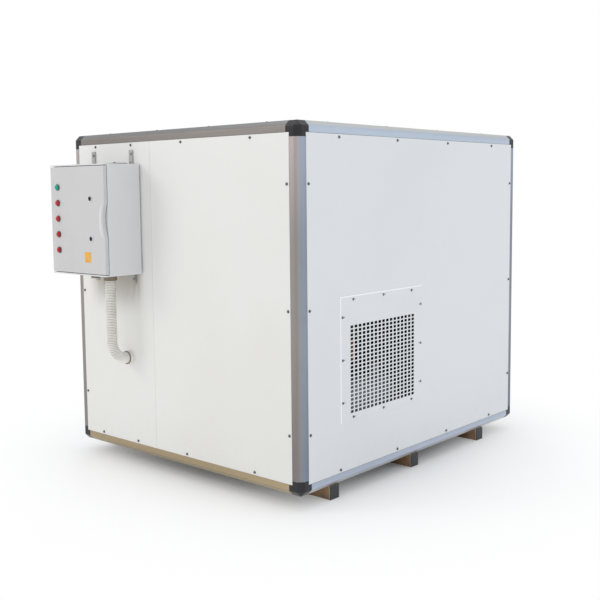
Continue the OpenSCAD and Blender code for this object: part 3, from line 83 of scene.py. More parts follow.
# ---------------------------------------------------------------- studio
# An even white tent, a broad warm panel on the control box side and a cool one on the intake
# side. The floor is a pale painted cove that runs out to the white of the tent.
scene = bpy.context.scene
scene.view_settings.view_transform = "Standard"
scene.view_settings.look = "None"
tent = bpy.data.worlds.new("tent")
tent.use_nodes = True
scene.world = tent
tent_tree = tent.node_tree


def set_inputs(tree, node, inputs):
    """Sets a node's inputs by name or number, each from a socket or to a value."""
    for label, value in inputs.items():
        if isinstance(value, bpy.types.NodeSocket):
            tree.links.new(value, node.inputs[label])
        else:
            node.inputs[label].default_value = value


def add_node(tree, kind, inputs=None, **settings):
    """A new node with its settings and its inputs."""
    made = tree.nodes.new(kind)
    for label, value in settings.items():
        setattr(made, label, value)
    set_inputs(tree, made, inputs or {})
    return made


tent_light = tent_tree.nodes["Background"]
set_inputs(tent_tree, tent_light, {"Color": (0.95, 0.975, 1.0, 1), "Strength": 0.84})
tent_seen = add_node(tent_tree, "ShaderNodeBackground", {"Color": (1, 1, 1, 1), "Strength": 1.0})
tent_ray = add_node(tent_tree, "ShaderNodeLightPath").outputs["Is Camera Ray"]
tent_parts = {"Fac": tent_ray, 1: tent_light.outputs["Background"], 2: tent_seen.outputs["Background"]}
tent_mix = add_node(tent_tree, "ShaderNodeMixShader", tent_parts)
set_inputs(tent_tree, tent_tree.nodes["World Output"], {"Surface": tent_mix.outputs["Shader"]})


def soft_panel(name, place, size, power, colour):
    """A square light panel that faces the middle of the cabinet."""
    data = bpy.data.lights.new(name, "AREA")
    data.shape = "SQUARE"
    data.size = size
    data.energy = power
    data.color = colour
    panel = bpy.data.objects.new(name, data)
    middle = (cad_low + cad_high) / 2
    facing = (Vector(place) - middle).to_track_quat("Z", "Y")
    panel.matrix_world = Matrix.Translation(place) @ facing.to_matrix().to_4x4()
    scene.collection.objects.link(panel)


soft_panel("warm_panel", (-3.4, -4.6, 3.8), 2.2, 55, (1.0, 0.96, 0.90))
soft_panel("cool_panel", (5.0, 1.6, 3.2), 2.2, 14, (0.86, 0.93, 1.0))
soft_panel("top_panel", (0.2, -0.4, 5.5), 3.0, 40, (1.0, 0.99, 0.97))
soft_panel("back_panel", (-4.6, 4.2, 3.2), 2.6, 40, (0.97, 0.98, 1.0))


def plain_finish(name):
    """A new material, its node tree and its Principled shader."""
    material = bpy.data.materials.new(name)
    material.use_nodes = True
    tree = material.node_tree
    return material, tree, tree.nodes["Principled BSDF"]


def linked(name, mesh, *materials):
    """A new object in the scene that holds a mesh and its materials."""
    piece = bpy.data.objects.new(name, mesh)
    scene.collection.objects.link(piece)
    for material in materials:
        mesh.materials.append(material)
    return piece


def shader_ramp(tree, share, first, second, start=0.0, end=1.0):
    """A ramp from one colour to another by a share; returns its colour."""
    ramp = add_node(tree, "ShaderNodeValToRGB", {"Fac": share})
    for element, colour, position in zip(ramp.color_ramp.elements, (first, second), (start, end)):
        element.color = (*colour, 1)
        element.position = position
    return ramp.outputs["Color"]


def object_place(tree):
    """The object's own coordinates, as a socket."""
    return add_node(tree, "ShaderNodeTexCoord").outputs["Object"]


def shader_step(tree, value, low, high):
    """A smooth step of a value from 0 at low to 1 at high."""
    step = add_node(
        tree,
        "ShaderNodeMapRange",
        {"Value": value, "From Min": low, "From Max": high},
        interpolation_type="SMOOTHSTEP",
    )
    return step.outputs["Result"]


cove_paint, cove_tree, cove_shader = plain_finish("cove_paint")
cove_noise = add_node(cove_tree, "ShaderNodeTexNoise", {"Scale": 1.5}).outputs["Fac"]
cove_colour = shader_ramp(cove_tree, cove_noise, (0.955, 0.953, 0.948), (0.97, 0.97, 0.967))
set_inputs(cove_tree, cove_shader, {"Roughness": 0.75, "Base Color": cove_colour})
cove_reach = add_node(cove_tree, "ShaderNodeVectorMath", {0: object_place(cove_tree)}, operation="LENGTH")
cove_glow = add_node(cove_tree, "ShaderNodeEmission").outputs["Emission"]
cove_fade = shader_step(cove_tree, cove_reach.outputs["Value"], 0.5, 1.9)
cove_parts = {"Fac": cove_fade, 1: cove_shader.outputs["BSDF"], 2: cove_glow}
cove_mix = add_node(cove_tree, "ShaderNodeMixShader", cove_parts).outputs["Shader"]
set_inputs(cove_tree, cove_tree.nodes["Material Output"], {"Surface": cove_mix})
floor_mesh = bpy.data.meshes.new("studio_floor")
cove_bm = bmesh.new()
bmesh.ops.create_circle(cove_bm, cap_ends=True, segments=96, radius=60)
cove_bm.to_mesh(floor_mesh)
cove_bm.free()
studio_floor = linked("studio_floor", floor_mesh, cove_paint)


# ---------------------------------------------------------------- skids
# Three lengths of square steel tube carry the cabinet off the floor. They are primed brown,
# with a thin edge radius from the mill and dirt in the lower half.
def new_group(kind, name, inputs, outputs):
    """A node group with named sockets; returns it, its input sockets and its output node."""
    group = bpy.data.node_groups.new(name, kind)
    for way, sockets in (("INPUT", inputs), ("OUTPUT", outputs)):
        for label, socket in sockets:
            group.interface.new_socket(label, in_out=way, socket_type="NodeSocket" + socket)
    return group, group.nodes.new("NodeGroupInput").outputs, group.nodes.new("NodeGroupOutput")


def shader_maths(tree, operation, first, second):
    """A maths node on two values, each a socket or a number; returns its output."""
    return add_node(tree, "ShaderNodeMath", {0: first, 1: second}, operation=operation).outputs["Value"]


def shader_noise(tree, place, scale, detail, roughness):
    """A noise texture at a place; the scale is a socket or a number."""
    values = {"Vector": place, "Scale": scale, "Detail": detail, "Roughness": roughness}
    return add_node(tree, "ShaderNodeTexNoise", values).outputs["Fac"]


def shader_mix(tree, share, first, second, blend="MIX"):
    """A colour mix by a share; returns its colour."""
    values = {"Factor": share, "A": first, "B": second}
    return add_node(tree, "ShaderNodeMix", values, data_type="RGBA", blend_type=blend).outputs["Result"]


def split(tree, vector):
    """The X, Y and Z sockets of a vector."""
    return add_node(tree, "ShaderNodeSeparateXYZ", {"Vector": vector}).outputs


def build_coat_group():
    """Paint or moulded plastic: cloudy tone, fine grain, chipped edges, dust and floor dirt."""
    tones = ("Colour", "Cloud colour", "Under colour", "Dirt colour")
    numbers = ("Cloud scale", "Grain scale", "Wear", "Dust", "Splash", "Splash height", "Roughness")
    group, given, result = new_group(
        "ShaderNodeTree",
        "coat",
        [(label, "Color") for label in tones] + [(label, "Float") for label in numbers],
        [("Colour", "Color"), ("Roughness", "Float"), ("Height", "Float"), ("Bare", "Float")],
    )

    def maths(operation, first, second):
        return shader_maths(group, operation, first, second)

    place = object_place(group)
    clouds = shader_noise(group, place, given["Cloud scale"], 6.0, 0.6)
    tone = shader_mix(group, shader_step(group, clouds, 0.42, 0.66), given["Colour"], given["Cloud colour"])

    edge = add_node(group, "ShaderNodeAttribute", attribute_name="edge").outputs["Fac"]
    chips = shader_noise(group, place, 160.0, 5.0, 0.7)
    chip_line = maths("SUBTRACT", 0.78, maths("MULTIPLY", given["Wear"], 0.4))
    bare = maths("MULTIPLY", edge, maths("GREATER_THAN", chips, chip_line))
    tone = shader_mix(group, bare, tone, given["Under colour"])

    facing = add_node(group, "ShaderNodeNewGeometry").outputs["Normal"]
    lying = shader_step(group, split(group, facing)["Z"], 0.3, 0.95)
    specks = shader_noise(group, place, 38.0, 8.0, 0.75)
    dust = maths("MULTIPLY", lying, shader_step(group, specks, 0.35, 0.7))
    dust = maths("MULTIPLY", dust, given["Dust"])
    low = maths("DIVIDE", split(group, place)["Z"], given["Splash height"])
    low = maths("SUBTRACT", 1.0, shader_step(group, low, 0.0, 1.0))
    splash = maths("MULTIPLY", low, shader_step(group, specks, 0.3, 0.75))
    dirt = maths("MAXIMUM", dust, maths("MULTIPLY", splash, given["Splash"]))
    tone = shader_mix(group, dirt, tone, given["Dirt colour"])

    grain = shader_noise(group, place, given["Grain scale"], 2.0, 0.5)
    rough = maths("ADD", given["Roughness"], maths("MULTIPLY", clouds, 0.12))
    rough = maths("ADD", rough, maths("MULTIPLY", dirt, 0.35))
    relief = maths("SUBTRACT", grain, maths("MULTIPLY", bare, 1.5))
    set_inputs(group, result, {"Colour": tone, "Roughness": rough, "Height": relief, "Bare": bare})
    return group


coat_group = build_coat_group()


def show_group(tree, shader, group, relief, depth):
    """Joins a finish group's colour, roughness and height to the shader."""
    values = {"Strength": relief, "Distance": depth, "Height": group["Height"]}
    normal = add_node(tree, "ShaderNodeBump", values).outputs["Normal"]
    shown = {"Base Color": group["Colour"], "Roughness": group["Roughness"], "Normal": normal}
    set_inputs(tree, shader, shown)


def coated(
    name, relief, colour, cloud, under, dirt, scales, wear, dust, roughness,
    splash=(0.0, 0.1), metal=0.0, **more,
):
    """A painted or moulded finish; relief is the bump's strength, scales are of cloud and grain."""
    material, tree, shader = plain_finish(name)
    values = {
        "Colour": (*colour, 1), "Cloud colour": (*cloud, 1), "Under colour": (*under, 1),
        "Dirt colour": (*dirt, 1), "Cloud scale": scales[0], "Grain scale": scales[1], "Wear": wear,
        "Dust": dust, "Splash": splash[0], "Splash height": splash[1], "Roughness": roughness,
    }
    coat = add_node(tree, "ShaderNodeGroup", node_tree=coat_group)
    set_inputs(tree, coat, values)
    show_group(tree, shader, coat.outputs, relief, 0.0004)
    if metal:
        set_inputs(tree, shader, {"Metallic": shader_maths(tree, "MULTIPLY", coat.outputs["Bare"], metal)})
    set_inputs(tree, shader, {label.replace("_", " "): value for label, value in more.items()})
    return material


def plain_mesh(source, name):
    """The evaluated shape of an object as a plain mesh object; the source is removed."""
    shape = source.evaluated_get(bpy.context.evaluated_depsgraph_get())
    mesh = bpy.data.meshes.new_from_object(shape)
    mesh.name = name
    bpy.data.objects.remove(source)
    return linked(name, mesh)


def rounded_copy(node, name, radius, steps):
    """A merged copy of a CAD node with its edges rounded; its rounded faces carry "edge" = 1."""
    shape = bmesh.new()
    shape.from_mesh(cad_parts[node].data)
    bmesh.ops.remove_doubles(shape, verts=shape.verts, dist=0.00001)
    bmesh.ops.dissolve_limit(shape, angle_limit=math.radians(0.4), verts=shape.verts, edges=shape.edges)
    return finish_rounding(shape, name, radius, steps)


def finish_rounding(shape, name, radius, steps=2, crease=32):
    """Rounds a bmesh's edges and gives it smooth shading that keeps its flats flat."""
    mesh = bpy.data.meshes.new(name)
    for face in shape.faces:
        face.smooth = True
        face.material_index = 0
    shape.to_mesh(mesh)
    shape.free()
    draft = linked(name, mesh, None, None)
    if radius:
        rounding = draft.modifiers.new("rounding", "BEVEL")
        rounding.width = radius
        rounding.segments = steps
        rounding.limit_method = "ANGLE"
        rounding.angle_limit = math.radians(crease)
        rounding.material = 1
        rounding.use_clamp_overlap = True
        rounding.miter_outer = "MITER_ARC"
    bpy.context.view_layer.update()
    piece = plain_mesh(draft, name)
    edge = piece.data.attributes.new("edge", "FLOAT", "FACE")
    for index, face in enumerate(piece.data.polygons):
        edge.data[index].value = float(face.material_index == 1)
        face.material_index = 0
    piece.data.materials.clear()
    piece.data.set_sharp_from_angle(angle=math.radians(crease))
    weighting = piece.modifiers.new("weighting", "WEIGHTED_NORMAL")
    weighting.keep_sharp = True
    weighting.weight = 80
    bpy.context.view_layer.update()
    return plain_mesh(piece, name)


def stands_for(piece, material, slot, *nodes, body="cabinet"):
    """Gives a piece its material and body, and lets it stand for its CAD nodes."""
    piece.data.materials.clear()
    piece.data.materials.append(material)
    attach(piece, body)
    if nodes:
        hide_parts(*nodes)


def dress(node, name, radius, steps, material, slot, body="cabinet"):
    """A rounded copy of a CAD node stands for it."""
    stands_for(rounded_copy(node, name, radius, steps), material, slot, node, body=body)


skid_primer = coated(
    "brown_primer", 0.35, (0.30, 0.175, 0.085), (0.17, 0.10, 0.055), (0.62, 0.56, 0.48),
    (0.07, 0.055, 0.045), scales=(9.0, 420.0), wear=0.9, dust=0.5, roughness=0.5, splash=(0.55, 0.055),
    metal=0.4,
)
dress("skids", "skid_tubes", 0.0022, 3, skid_primer, "skid_paint")


# ---------------------------------------------------------------- skid caps
# Black polyethylene caps are pushed into the open ends of the tubes. Their faces are slightly
# grained from the mould and scuffed where a pallet truck touches them.
cap_plastic = coated(
    "cap_plastic", 0.5, (0.022, 0.023, 0.026), (0.032, 0.033, 0.036), (0.12, 0.12, 0.12),
    (0.10, 0.09, 0.075), scales=(30.0, 700.0), wear=0.5, dust=0.25, roughness=0.42, splash=(0.25, 0.05),
)
dress("skid_end_caps", "tube_caps", 0.0014, 3, cap_plastic, "black_plastic")


# ---------------------------------------------------------------- profile frame
# Twelve lengths of hollow aluminium profile make the cabinet's edges. They are drawn, cut and
# clear anodised; the outer corner is bevelled and fine die lines run along every length.
# Light and shade are painted into the anodising: a warm and a cool painted reflection on the
# front and right faces, painted tints low and high, and a lighter and a darker copy of the rails.
def build_drawn_group():
    """Drawn or rolled metal: fine lines along one way, faint bands, finger smudges."""
    group, given, result = new_group(
        "ShaderNodeTree",
        "drawn metal",
        [
            ("Colour", "Color"), ("Band colour", "Color"), ("Stretch", "Vector"), ("Line scale", "Float"),
            ("Smudge", "Float"), ("Roughness", "Float"),
        ],
        [("Colour", "Color"), ("Roughness", "Float"), ("Height", "Float")],
    )
    place = object_place(group)
    along = add_node(group, "ShaderNodeVectorMath", {0: place, 1: given["Stretch"]}, operation="MULTIPLY")
    lines = shader_noise(group, along.outputs["Vector"], given["Line scale"], 5.0, 0.7)
    bands = shader_noise(group, along.outputs["Vector"], 9.0, 3.0, 0.5)
    smudges = shader_noise(group, place, 11.0, 6.0, 0.6)
    tone = shader_mix(group, shader_step(group, bands, 0.35, 0.65), given["Colour"], given["Band colour"])
    rough = shader_maths(group, "ADD", given["Roughness"], shader_maths(group, "MULTIPLY", lines, 0.12))
    smudge = shader_maths(group, "MULTIPLY", shader_step(group, smudges, 0.45, 0.7), given["Smudge"])
    rough = shader_maths(group, "ADD", rough, shader_maths(group, "MULTIPLY", smudge, 0.3))
    set_inputs(group, result, {"Colour": tone, "Roughness": rough, "Height": lines})
    return group


drawn_group = build_drawn_group()


def drawn(name, relief, metallic, colour, band, stretch, lines, smudge, roughness):
    """A drawn-metal finish; relief is the bump's strength, lines the scale of its die lines."""
    material, tree, shader = plain_finish(name)
    values = {
        "Colour": (*colour, 1), "Band colour": (*band, 1), "Stretch": stretch, "Line scale": lines,
        "Smudge": smudge, "Roughness": roughness,
    }
    metal = add_node(tree, "ShaderNodeGroup", node_tree=drawn_group)
    set_inputs(tree, metal, values)
    show_group(tree, shader, metal.outputs, relief, 0.0002)
    set_inputs(tree, shader, {"Metallic": metallic})
    return material


def overlay(material, share, colour, blend="MULTIPLY"):
    """Lays a colour over the finish's own colour by a share."""
    tree = material.node_tree
    shader = tree.nodes["Principled BSDF"]
    base = shader.inputs["Base Color"].links[0].from_socket
    set_inputs(tree, shader, {"Base Color": shader_mix(tree, share, base, (*colour, 1), blend)})


def anodised(along, tone, foot_light_tint, head_light_tint):
    """Clear anodised aluminium whose die lines run along one axis, with painted light: an overall tone per
    copy, a warm painted reflection on the front faces, a cool one on the right faces, and painted tints at
    the foot and the head.
    """
    stretch = tuple(0.04 if axis == along else 1.0 for axis in "xyz")
    material = drawn(
        "anodised_painted_light_along_" + along, 0.5, 0.72, (tone, tone, tone), (0.80 * tone, 0.79 * tone, 0.79 * tone),
        stretch, lines=240.0, smudge=0.35, roughness=0.36,
    )
    tree = material.node_tree
    place = split(tree, object_place(tree))
    front_y, right_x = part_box("corner_posts")[0].y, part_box("corner_posts")[1].x
    foot_top, foot_bottom = 0.75, 0.15
    head_bottom, head_top = 1.05, 1.50
    # Painted light: warm and cool painted reflections on the front and right faces, and painted tints at
    # the foot and the head.
    for axis, start, end, light_tint in (
        ("Y", front_y + 0.012, front_y + 0.001, (0.97, 0.89, 0.83)),
        ("X", right_x - 0.012, right_x - 0.001, (0.84, 0.96, 1.14)),
        ("Z", foot_top, foot_bottom, foot_light_tint),
        ("Z", head_bottom, head_top, head_light_tint),
    ):
        overlay(material, shader_step(tree, place[axis], start, end), light_tint)
    return material


def arc_corner(before, corner, after, radius, steps=4):
    """Points of a round corner between two straight sides of an outline."""
    to_before = (before - corner).normalized()
    to_after = (after - corner).normalized()
    half = to_before.angle(to_after) / 2
    reach = min(radius / math.tan(half), (before - corner).length / 2, (after - corner).length / 2)
    radius = reach * math.tan(half)
    centre = corner + (to_before + to_after).normalized() * (radius / math.sin(half))
    start = (corner + to_before * reach - centre).normalized()
    end = (corner + to_after * reach - centre).normalized()
    return [centre + radius * start.slerp(end, i / steps) for i in range(steps + 1)]


def rounded_outline(corners):
    """An outline through (x, y, radius) corners, as 2-D points."""
    points = []
    for i, (x, y, radius) in enumerate(corners):
        here = Vector((x, y))
        if not radius:
            points.append(here)
            continue
        before = Vector(corners[i - 1][:2])
        after = Vector(corners[(i + 1) % len(corners)][:2])
        points += arc_corner(before, here, after, radius)
    return points


def bridge(shape, rings, closed=True):
    """Quads between each ring or row of vertices and the next."""
    for lower, upper in zip(rings, rings[1:]):
        for i in range(len(lower) if closed else len(lower) - 1):
            j = (i + 1) % len(lower)
            shape.faces.new((lower[i], lower[j], upper[j], upper[i]))


def add_tube(shape, outer, inner, place, reach):
    """Adds a straight tube: an outer and an inner outline of equal count, from place to reach."""
    rings = []
    for outline, distance in ((outer, 0.0), (outer, reach), (inner, reach), (inner, 0.0)):
        rings.append([shape.verts.new(place(point.x, point.y, distance)) for point in outline])
    bridge(shape, rings + rings[:1])


post_low, post_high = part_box("corner_posts")
frame_low = Vector((post_low.x, post_low.y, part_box("base_rails")[0].z))
frame_high = Vector((post_high.x, post_high.y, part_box("top_rails")[1].z))
panel_gap = 0.001
rail_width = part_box("right_panel")[0].y - frame_low.y - panel_gap
bevel_leg = 0.022
rail_wall = 0.002
flange_reach = 0.036
flange_wall = 0.003
die_radius = 0.0035
block_reach = post_low.z - frame_low.z


def profile_outline(inset):
    """The visible hollow of the profile, its outer corner at the origin, drawn smaller by inset."""
    k = inset * (math.sqrt(2) - 1)
    far = rail_width - inset
    soft = max(die_radius - inset, 0.0005)
    groove = 0.0012 if inset == 0 else 0.0005
    return rounded_outline(
        [
            (bevel_leg + k, inset, soft),
            (far, inset, groove),
            (far, far, groove),
            (inset, far, groove),
            (inset, bevel_leg + k, soft),
        ]
    )


def mirrored_place(signs, order, start):
    """Maps section points and a distance to the frame for one corner of the cabinet."""

    def place(a, b, distance):
        values = {order[0]: a, order[1]: b, order[2]: distance + start}
        out = Vector()
        for axis in range(3):
            low, high = frame_low[axis], frame_high[axis]
            out[axis] = low + values[axis] if signs[axis] > 0 else high - values[axis]
        return out

    return place


def rail_piece(name, runs):
    """One mesh of profile lengths; each run is (signs of its edge, axis it runs along)."""
    shape = bmesh.new()
    for signs, along in runs:
        order = [axis for axis in range(3) if axis != along] + [along]
        length = frame_high[along] - frame_low[along] - 2 * block_reach
        place = mirrored_place(signs, order, block_reach)
        add_tube(shape, profile_outline(0), profile_outline(rail_wall), place, length)
        for order_here in (order, [order[1], order[0], along]):
            tongue = mirrored_place(signs, order_here, block_reach)
            root, tip = rail_width, rail_width + flange_reach
            inside = rail_width - flange_wall
            lip = ((root, inside), (tip, inside), (tip, root), (root, root))
            near = [shape.verts.new(tongue(a, b, flange_reach)) for a, b in lip]
            far = [shape.verts.new(tongue(a, b, length - flange_reach)) for a, b in lip]
            shape.faces.new(near)
            shape.faces.new(far[::-1])
            bridge(shape, [near, far])
    bmesh.ops.recalc_face_normals(shape, faces=shape.faces)
    return finish_rounding(shape, name, 0, crease=50)


axis_x, axis_y, axis_z = 0, 1, 2
both = (1, -1)
post_runs = [((i, j, 1), axis_z) for i in both for j in both]
posts = rail_piece("posts", post_runs)
# The tones and tints of these copies are painted light: the posts darker at the foot and lighter at the
# head, the rails along X darker with a warm painted floor reflection at their foot, the rails along Y
# lighter.
anodised_z = anodised("z", 0.35, (0.78, 0.78, 0.82), (1.40, 1.34, 1.38))
stands_for(posts, anodised_z, "frame_aluminium", "corner_posts")
anodised_x_painted_darker = anodised("x", 0.30, (1.60, 1.38, 0.92), (1, 1, 1))
anodised_y_painted_lighter = anodised("y", 0.60, (1.08, 1.06, 1.06), (1.04, 1.04, 1.02))
for label, sign, node in (("base", 1, "base_rails"), ("top", -1, "top_rails")):
    long_rails = rail_piece(label + "_rails_along", [((1, j, sign), axis_x) for j in both])
    cross_rails = rail_piece(label + "_rails_across", [((i, 1, sign), axis_y) for i in both])
    stands_for(long_rails, anodised_x_painted_darker, "frame_aluminium", node)
    stands_for(cross_rails, anodised_y_painted_lighter, "frame_aluminium", node)


# ---------------------------------------------------------------- corner blocks
# Eight moulded nylon blocks join three profiles each. They have the profile's bevel on their
# outer edges, a facet where the bevels meet and a soft radius everywhere else.
def add_corner_block(shape, signs):
    """Adds one block: a cube with three arms, bevelled on its outer edges."""
    block = bmesh.new()
    bmesh.ops.create_cube(block, size=rail_width)
    bmesh.ops.translate(block, verts=block.verts, vec=Vector((1, 1, 1)) * rail_width / 2)
    for axis in range(3):
        middle = Vector((rail_width / 2,) * 3)
        middle[axis] = rail_width
        arm = min(block.faces, key=lambda face: (face.calc_center_median() - middle).length)
        grown = bmesh.ops.extrude_discrete_faces(block, faces=[arm])["faces"]
        push = Vector()
        push[axis] = block_reach - rail_width
        side_verts = list(grown[0].verts)
        rim = [edge for edge in block.edges if edge.is_boundary]
        bmesh.ops.translate(block, verts=side_verts, vec=push)
        base_rim = [edge for edge in rim if not set(edge.verts) & set(side_verts)]
        top_rim = [edge for edge in rim if set(edge.verts) <= set(side_verts)]
        bmesh.ops.bridge_loops(block, edges=base_rim + top_rim)
    bmesh.ops.remove_doubles(block, verts=block.verts, dist=0.00001)
    outer = []
    for edge in block.edges:
        on_faces = [k for k in range(3) if all(abs(v.co[k]) < 1e-6 for v in edge.verts)]
        if len(on_faces) == 2:
            outer.append(edge)
    bmesh.ops.bevel(block, geom=outer, offset=bevel_leg, segments=1, affect="EDGES", clamp_overlap=False)
    bmesh.ops.dissolve_limit(block, angle_limit=math.radians(1), verts=block.verts, edges=block.edges)
    sharp = [edge for edge in block.edges if edge.calc_face_angle(0) > math.radians(25)]
    bmesh.ops.bevel(block, geom=sharp, offset=0.0022, segments=3, profile=0.5, affect="EDGES")
    bmesh.ops.recalc_face_normals(block, faces=block.faces)
    place = mirrored_place(signs, (0, 1, 2), 0.0)
    verts = {vert: shape.verts.new(place(*vert.co)) for vert in block.verts}
    flipped = signs[0] * signs[1] * signs[2] < 0
    for face in block.faces:
        loop = [verts[v] for v in face.verts]
        shape.faces.new(loop[::-1] if flipped else loop)
    block.free()


block_shape = bmesh.new()
for i in both:
    for j in both:
        for k in both:
            add_corner_block(block_shape, (i, j, k))
block_nylon = coated(
    "block_nylon", 0.3, (0.010, 0.009, 0.013), (0.016, 0.014, 0.019), (0.16, 0.16, 0.17),
    (0.16, 0.15, 0.14), scales=(22.0, 650.0), wear=0.25, dust=0.12, roughness=0.24, splash=(0.15, 0.12),
    Specular_IOR_Level=0.42,
)
joining_blocks = finish_rounding(block_shape, "joining_blocks", 0, crease=40)
stands_for(joining_blocks, block_nylon, "black_plastic", "corner_blocks")


# ---------------------------------------------------------------- floor
# A folded steel floor is let into the base profiles on three joists. It is galvanised, with
# the flowered zinc showing through a light grey wash.
floor_zinc = drawn(
    "floor_zinc", 0.2, 0.35, (0.42, 0.43, 0.44), (0.34, 0.35, 0.36), (1.0, 1.0, 1.0), lines=30.0,
    smudge=0.6, roughness=0.5,
)
dress("floor_plate", "floor_tray", 0.0012, 2, floor_zinc, "floor_steel")


# ---------------------------------------------------------------- wall panels
# Folded steel trays with a white stove enamel, let in between the profiles. The long sheets
# are not dead flat: a slow wave runs over them, and the enamel has a fine orange peel. The front
# sheets carry a lighter, warmer copy of the enamel and the other sheets a darker, cooler copy:
# painted light and painted shade of one paint.
def white_enamel(name, colour, cloud):
    """White stove enamel over a slightly wavy sheet."""
    material = coated(
        name, 0.12, colour, cloud, (0.5, 0.5, 0.5), (0.42, 0.39, 0.34), scales=(0.9, 380.0), wear=0.15,
        dust=0.12, roughness=0.36, splash=(0.10, 0.35), Coat_Weight=0.12, Coat_Roughness=0.18,
    )
    tree = material.node_tree
    waves = shader_noise(tree, object_place(tree), 1.6, 1.0, 0.3)
    wave = add_node(tree, "ShaderNodeBump", {"Strength": 0.25, "Distance": 0.01, "Height": waves})
    fine_bump = tree.nodes["Principled BSDF"].inputs["Normal"].links[0].from_node
    set_inputs(tree, fine_bump, {"Normal": wave.outputs["Normal"]})
    return material


def stain_and_shade_below_box(material):
    """Painted shade under the control box, with streaks of rust water and dust that have run down the wall.
    """
    tree = material.node_tree
    place = object_place(tree)
    axes = split(tree, place)
    streaks = add_node(tree, "ShaderNodeMapping", {"Vector": place, "Scale": (1.0, 1.0, 0.10)})
    streak = shader_noise(tree, streaks.outputs["Vector"], 26.0, 4.0, 0.6)
    streak = shader_step(tree, streak, 0.25, 0.72)
    box_low, box_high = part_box("control_box")
    # The floor of 0.6 under the streaks is an even painted shade below the box; the streaks above it are
    # the rust water.
    share = shader_maths(tree, "MAXIMUM", streak, 0.6)
    for axis, start, end in (
        ("X", box_low.x - 0.02, box_low.x + 0.09),
        ("X", box_high.x + 0.02, box_high.x - 0.07),
        ("Z", box_low.z - 0.22, box_low.z - 0.01),
        ("Z", box_low.z + 0.12, box_low.z + 0.06),
    ):
        share = shader_maths(tree, "MULTIPLY", share, shader_step(tree, axes[axis], start, end))
    overlay(material, share, (0.36, 0.29, 0.22))


# The front sheets' copy is painted lighter and warmer and the others' copy darker and cooler, which stands
# in for the light on each side.
front_lit_enamel = white_enamel("painted_lit_white_enamel", (0.80, 0.795, 0.77), (0.775, 0.765, 0.735))
stain_and_shade_below_box(front_lit_enamel)
side_shaded_enamel = white_enamel("painted_shaded_white_enamel", (0.735, 0.755, 0.775), (0.71, 0.73, 0.75))
for node, material in (
    ("front_panel_left", front_lit_enamel),
    ("front_panel_right", front_lit_enamel),
    ("right_panel", side_shaded_enamel),
    ("rear_panel", side_shaded_enamel),
    ("left_panel", side_shaded_enamel),
    ("roof_panel", side_shaded_enamel),
):
    dress(node, node + "_sheet", 0.0006, 2, material, "panel_white")


# ---------------------------------------------------------------- wall lining
# Slabs of open-cell foam are glued inside the trays to quieten the fans and the compressor.
# The foam is charcoal, with cells that catch no light.
foam, foam_tree, foam_shader = plain_finish("charcoal_foam")
foam_cells = add_node(foam_tree, "ShaderNodeTexVoronoi", {"Scale": 260, "Vector": object_place(foam_tree)})
foam_depth = foam_cells.outputs["Distance"]
foam_colour = shader_ramp(foam_tree, foam_depth, (0.010, 0.010, 0.011), (0.045, 0.045, 0.048))
foam_bump = add_node(foam_tree, "ShaderNodeBump", {"Distance": 0.002, "Height": foam_depth})
foam_values = {"Base Color": foam_colour, "Normal": foam_bump.outputs["Normal"], "Roughness": 0.95}
set_inputs(foam_tree, foam_shader, foam_values)
dress("acoustic_lining", "foam_slabs", 0.003, 2, foam, "lining_foam")


# ---------------------------------------------------------------- panel screws
# Self-drilling steel screws with a washer face hold the sheets to the profiles. The heads are
# pressed with a shallow dish and are dulled by a dark zinc passivation.
def geometry_tree(name, inputs):
    """A geometry node tree that takes and gives a geometry, with further named inputs."""
    whole = ("Geometry", "Geometry")
    return new_group("GeometryNodeTree", name, [whole, *inputs], [whole])


def finish_tree(tree, given, result, geometry):
    """Ends a geometry tree with Realize Instances and Set Material."""
    real = add_node(tree, "GeometryNodeRealizeInstances", {"Geometry": geometry}).outputs["Geometry"]
    finish = add_node(tree, "GeometryNodeSetMaterial", {"Geometry": real, "Material": given["Finish"]})
    set_inputs(tree, result, {"Geometry": finish.outputs["Geometry"]})
    return tree


def grown(name, source, tree, values):
    """Runs a geometry tree on an object with named inputs and returns the plain mesh object."""
    modifier = source.modifiers.new(tree.name, "NODES")
    modifier.node_group = tree
    for item in tree.interface.items_tree:
        if item.in_out == "INPUT" and item.name in values:
            modifier[item.identifier] = values[item.name]
    bpy.context.view_layer.update()
    return plain_mesh(source, name)


def build_copies_tree():
    """Sets one piece at every point, turned by the point's own "turn"."""
    tree, given, result = geometry_tree("copies at points", [("Piece", "Object"), ("Finish", "Material")])
    piece = add_node(tree, "GeometryNodeObjectInfo", {"Object": given["Piece"]}).outputs["Geometry"]
    stored = "GeometryNodeInputNamedAttribute"
    turn_here = add_node(tree, stored, {"Name": "turn"}, data_type="FLOAT_VECTOR").outputs["Attribute"]
    rotation = add_node(tree, "FunctionNodeEulerToRotation", {"Euler": turn_here})
    spots = {"Points": given["Geometry"], "Instance": piece, "Rotation": rotation.outputs["Rotation"]}
    copies = add_node(tree, "GeometryNodeInstanceOnPoints", spots).outputs["Instances"]
    return finish_tree(tree, given, result, copies)


copies_tree = build_copies_tree()


def copies(name, piece, places, material):
    """Copies of a piece, one for each (place, direction of its +Z[, spin]); the piece is used up."""
    mesh = bpy.data.meshes.new(name)
    mesh.from_pydata([tuple(spot[0]) for spot in places], [], [])
    turns = mesh.attributes.new("turn", "FLOAT_VECTOR", "POINT")
    for index, spot in enumerate(places):
        spin = Matrix.Rotation(spot[2] if len(spot) > 2 else 0.0, 3, "Z")
        aim = Vector(spot[1]).to_track_quat("Z", "Y").to_matrix()
        turns.data[index].vector = (aim @ spin).to_euler()
    source = linked(name, mesh)
    done = grown(name, source, copies_tree, {"Piece": piece, "Finish": material})
    bpy.data.objects.remove(piece)
    return done


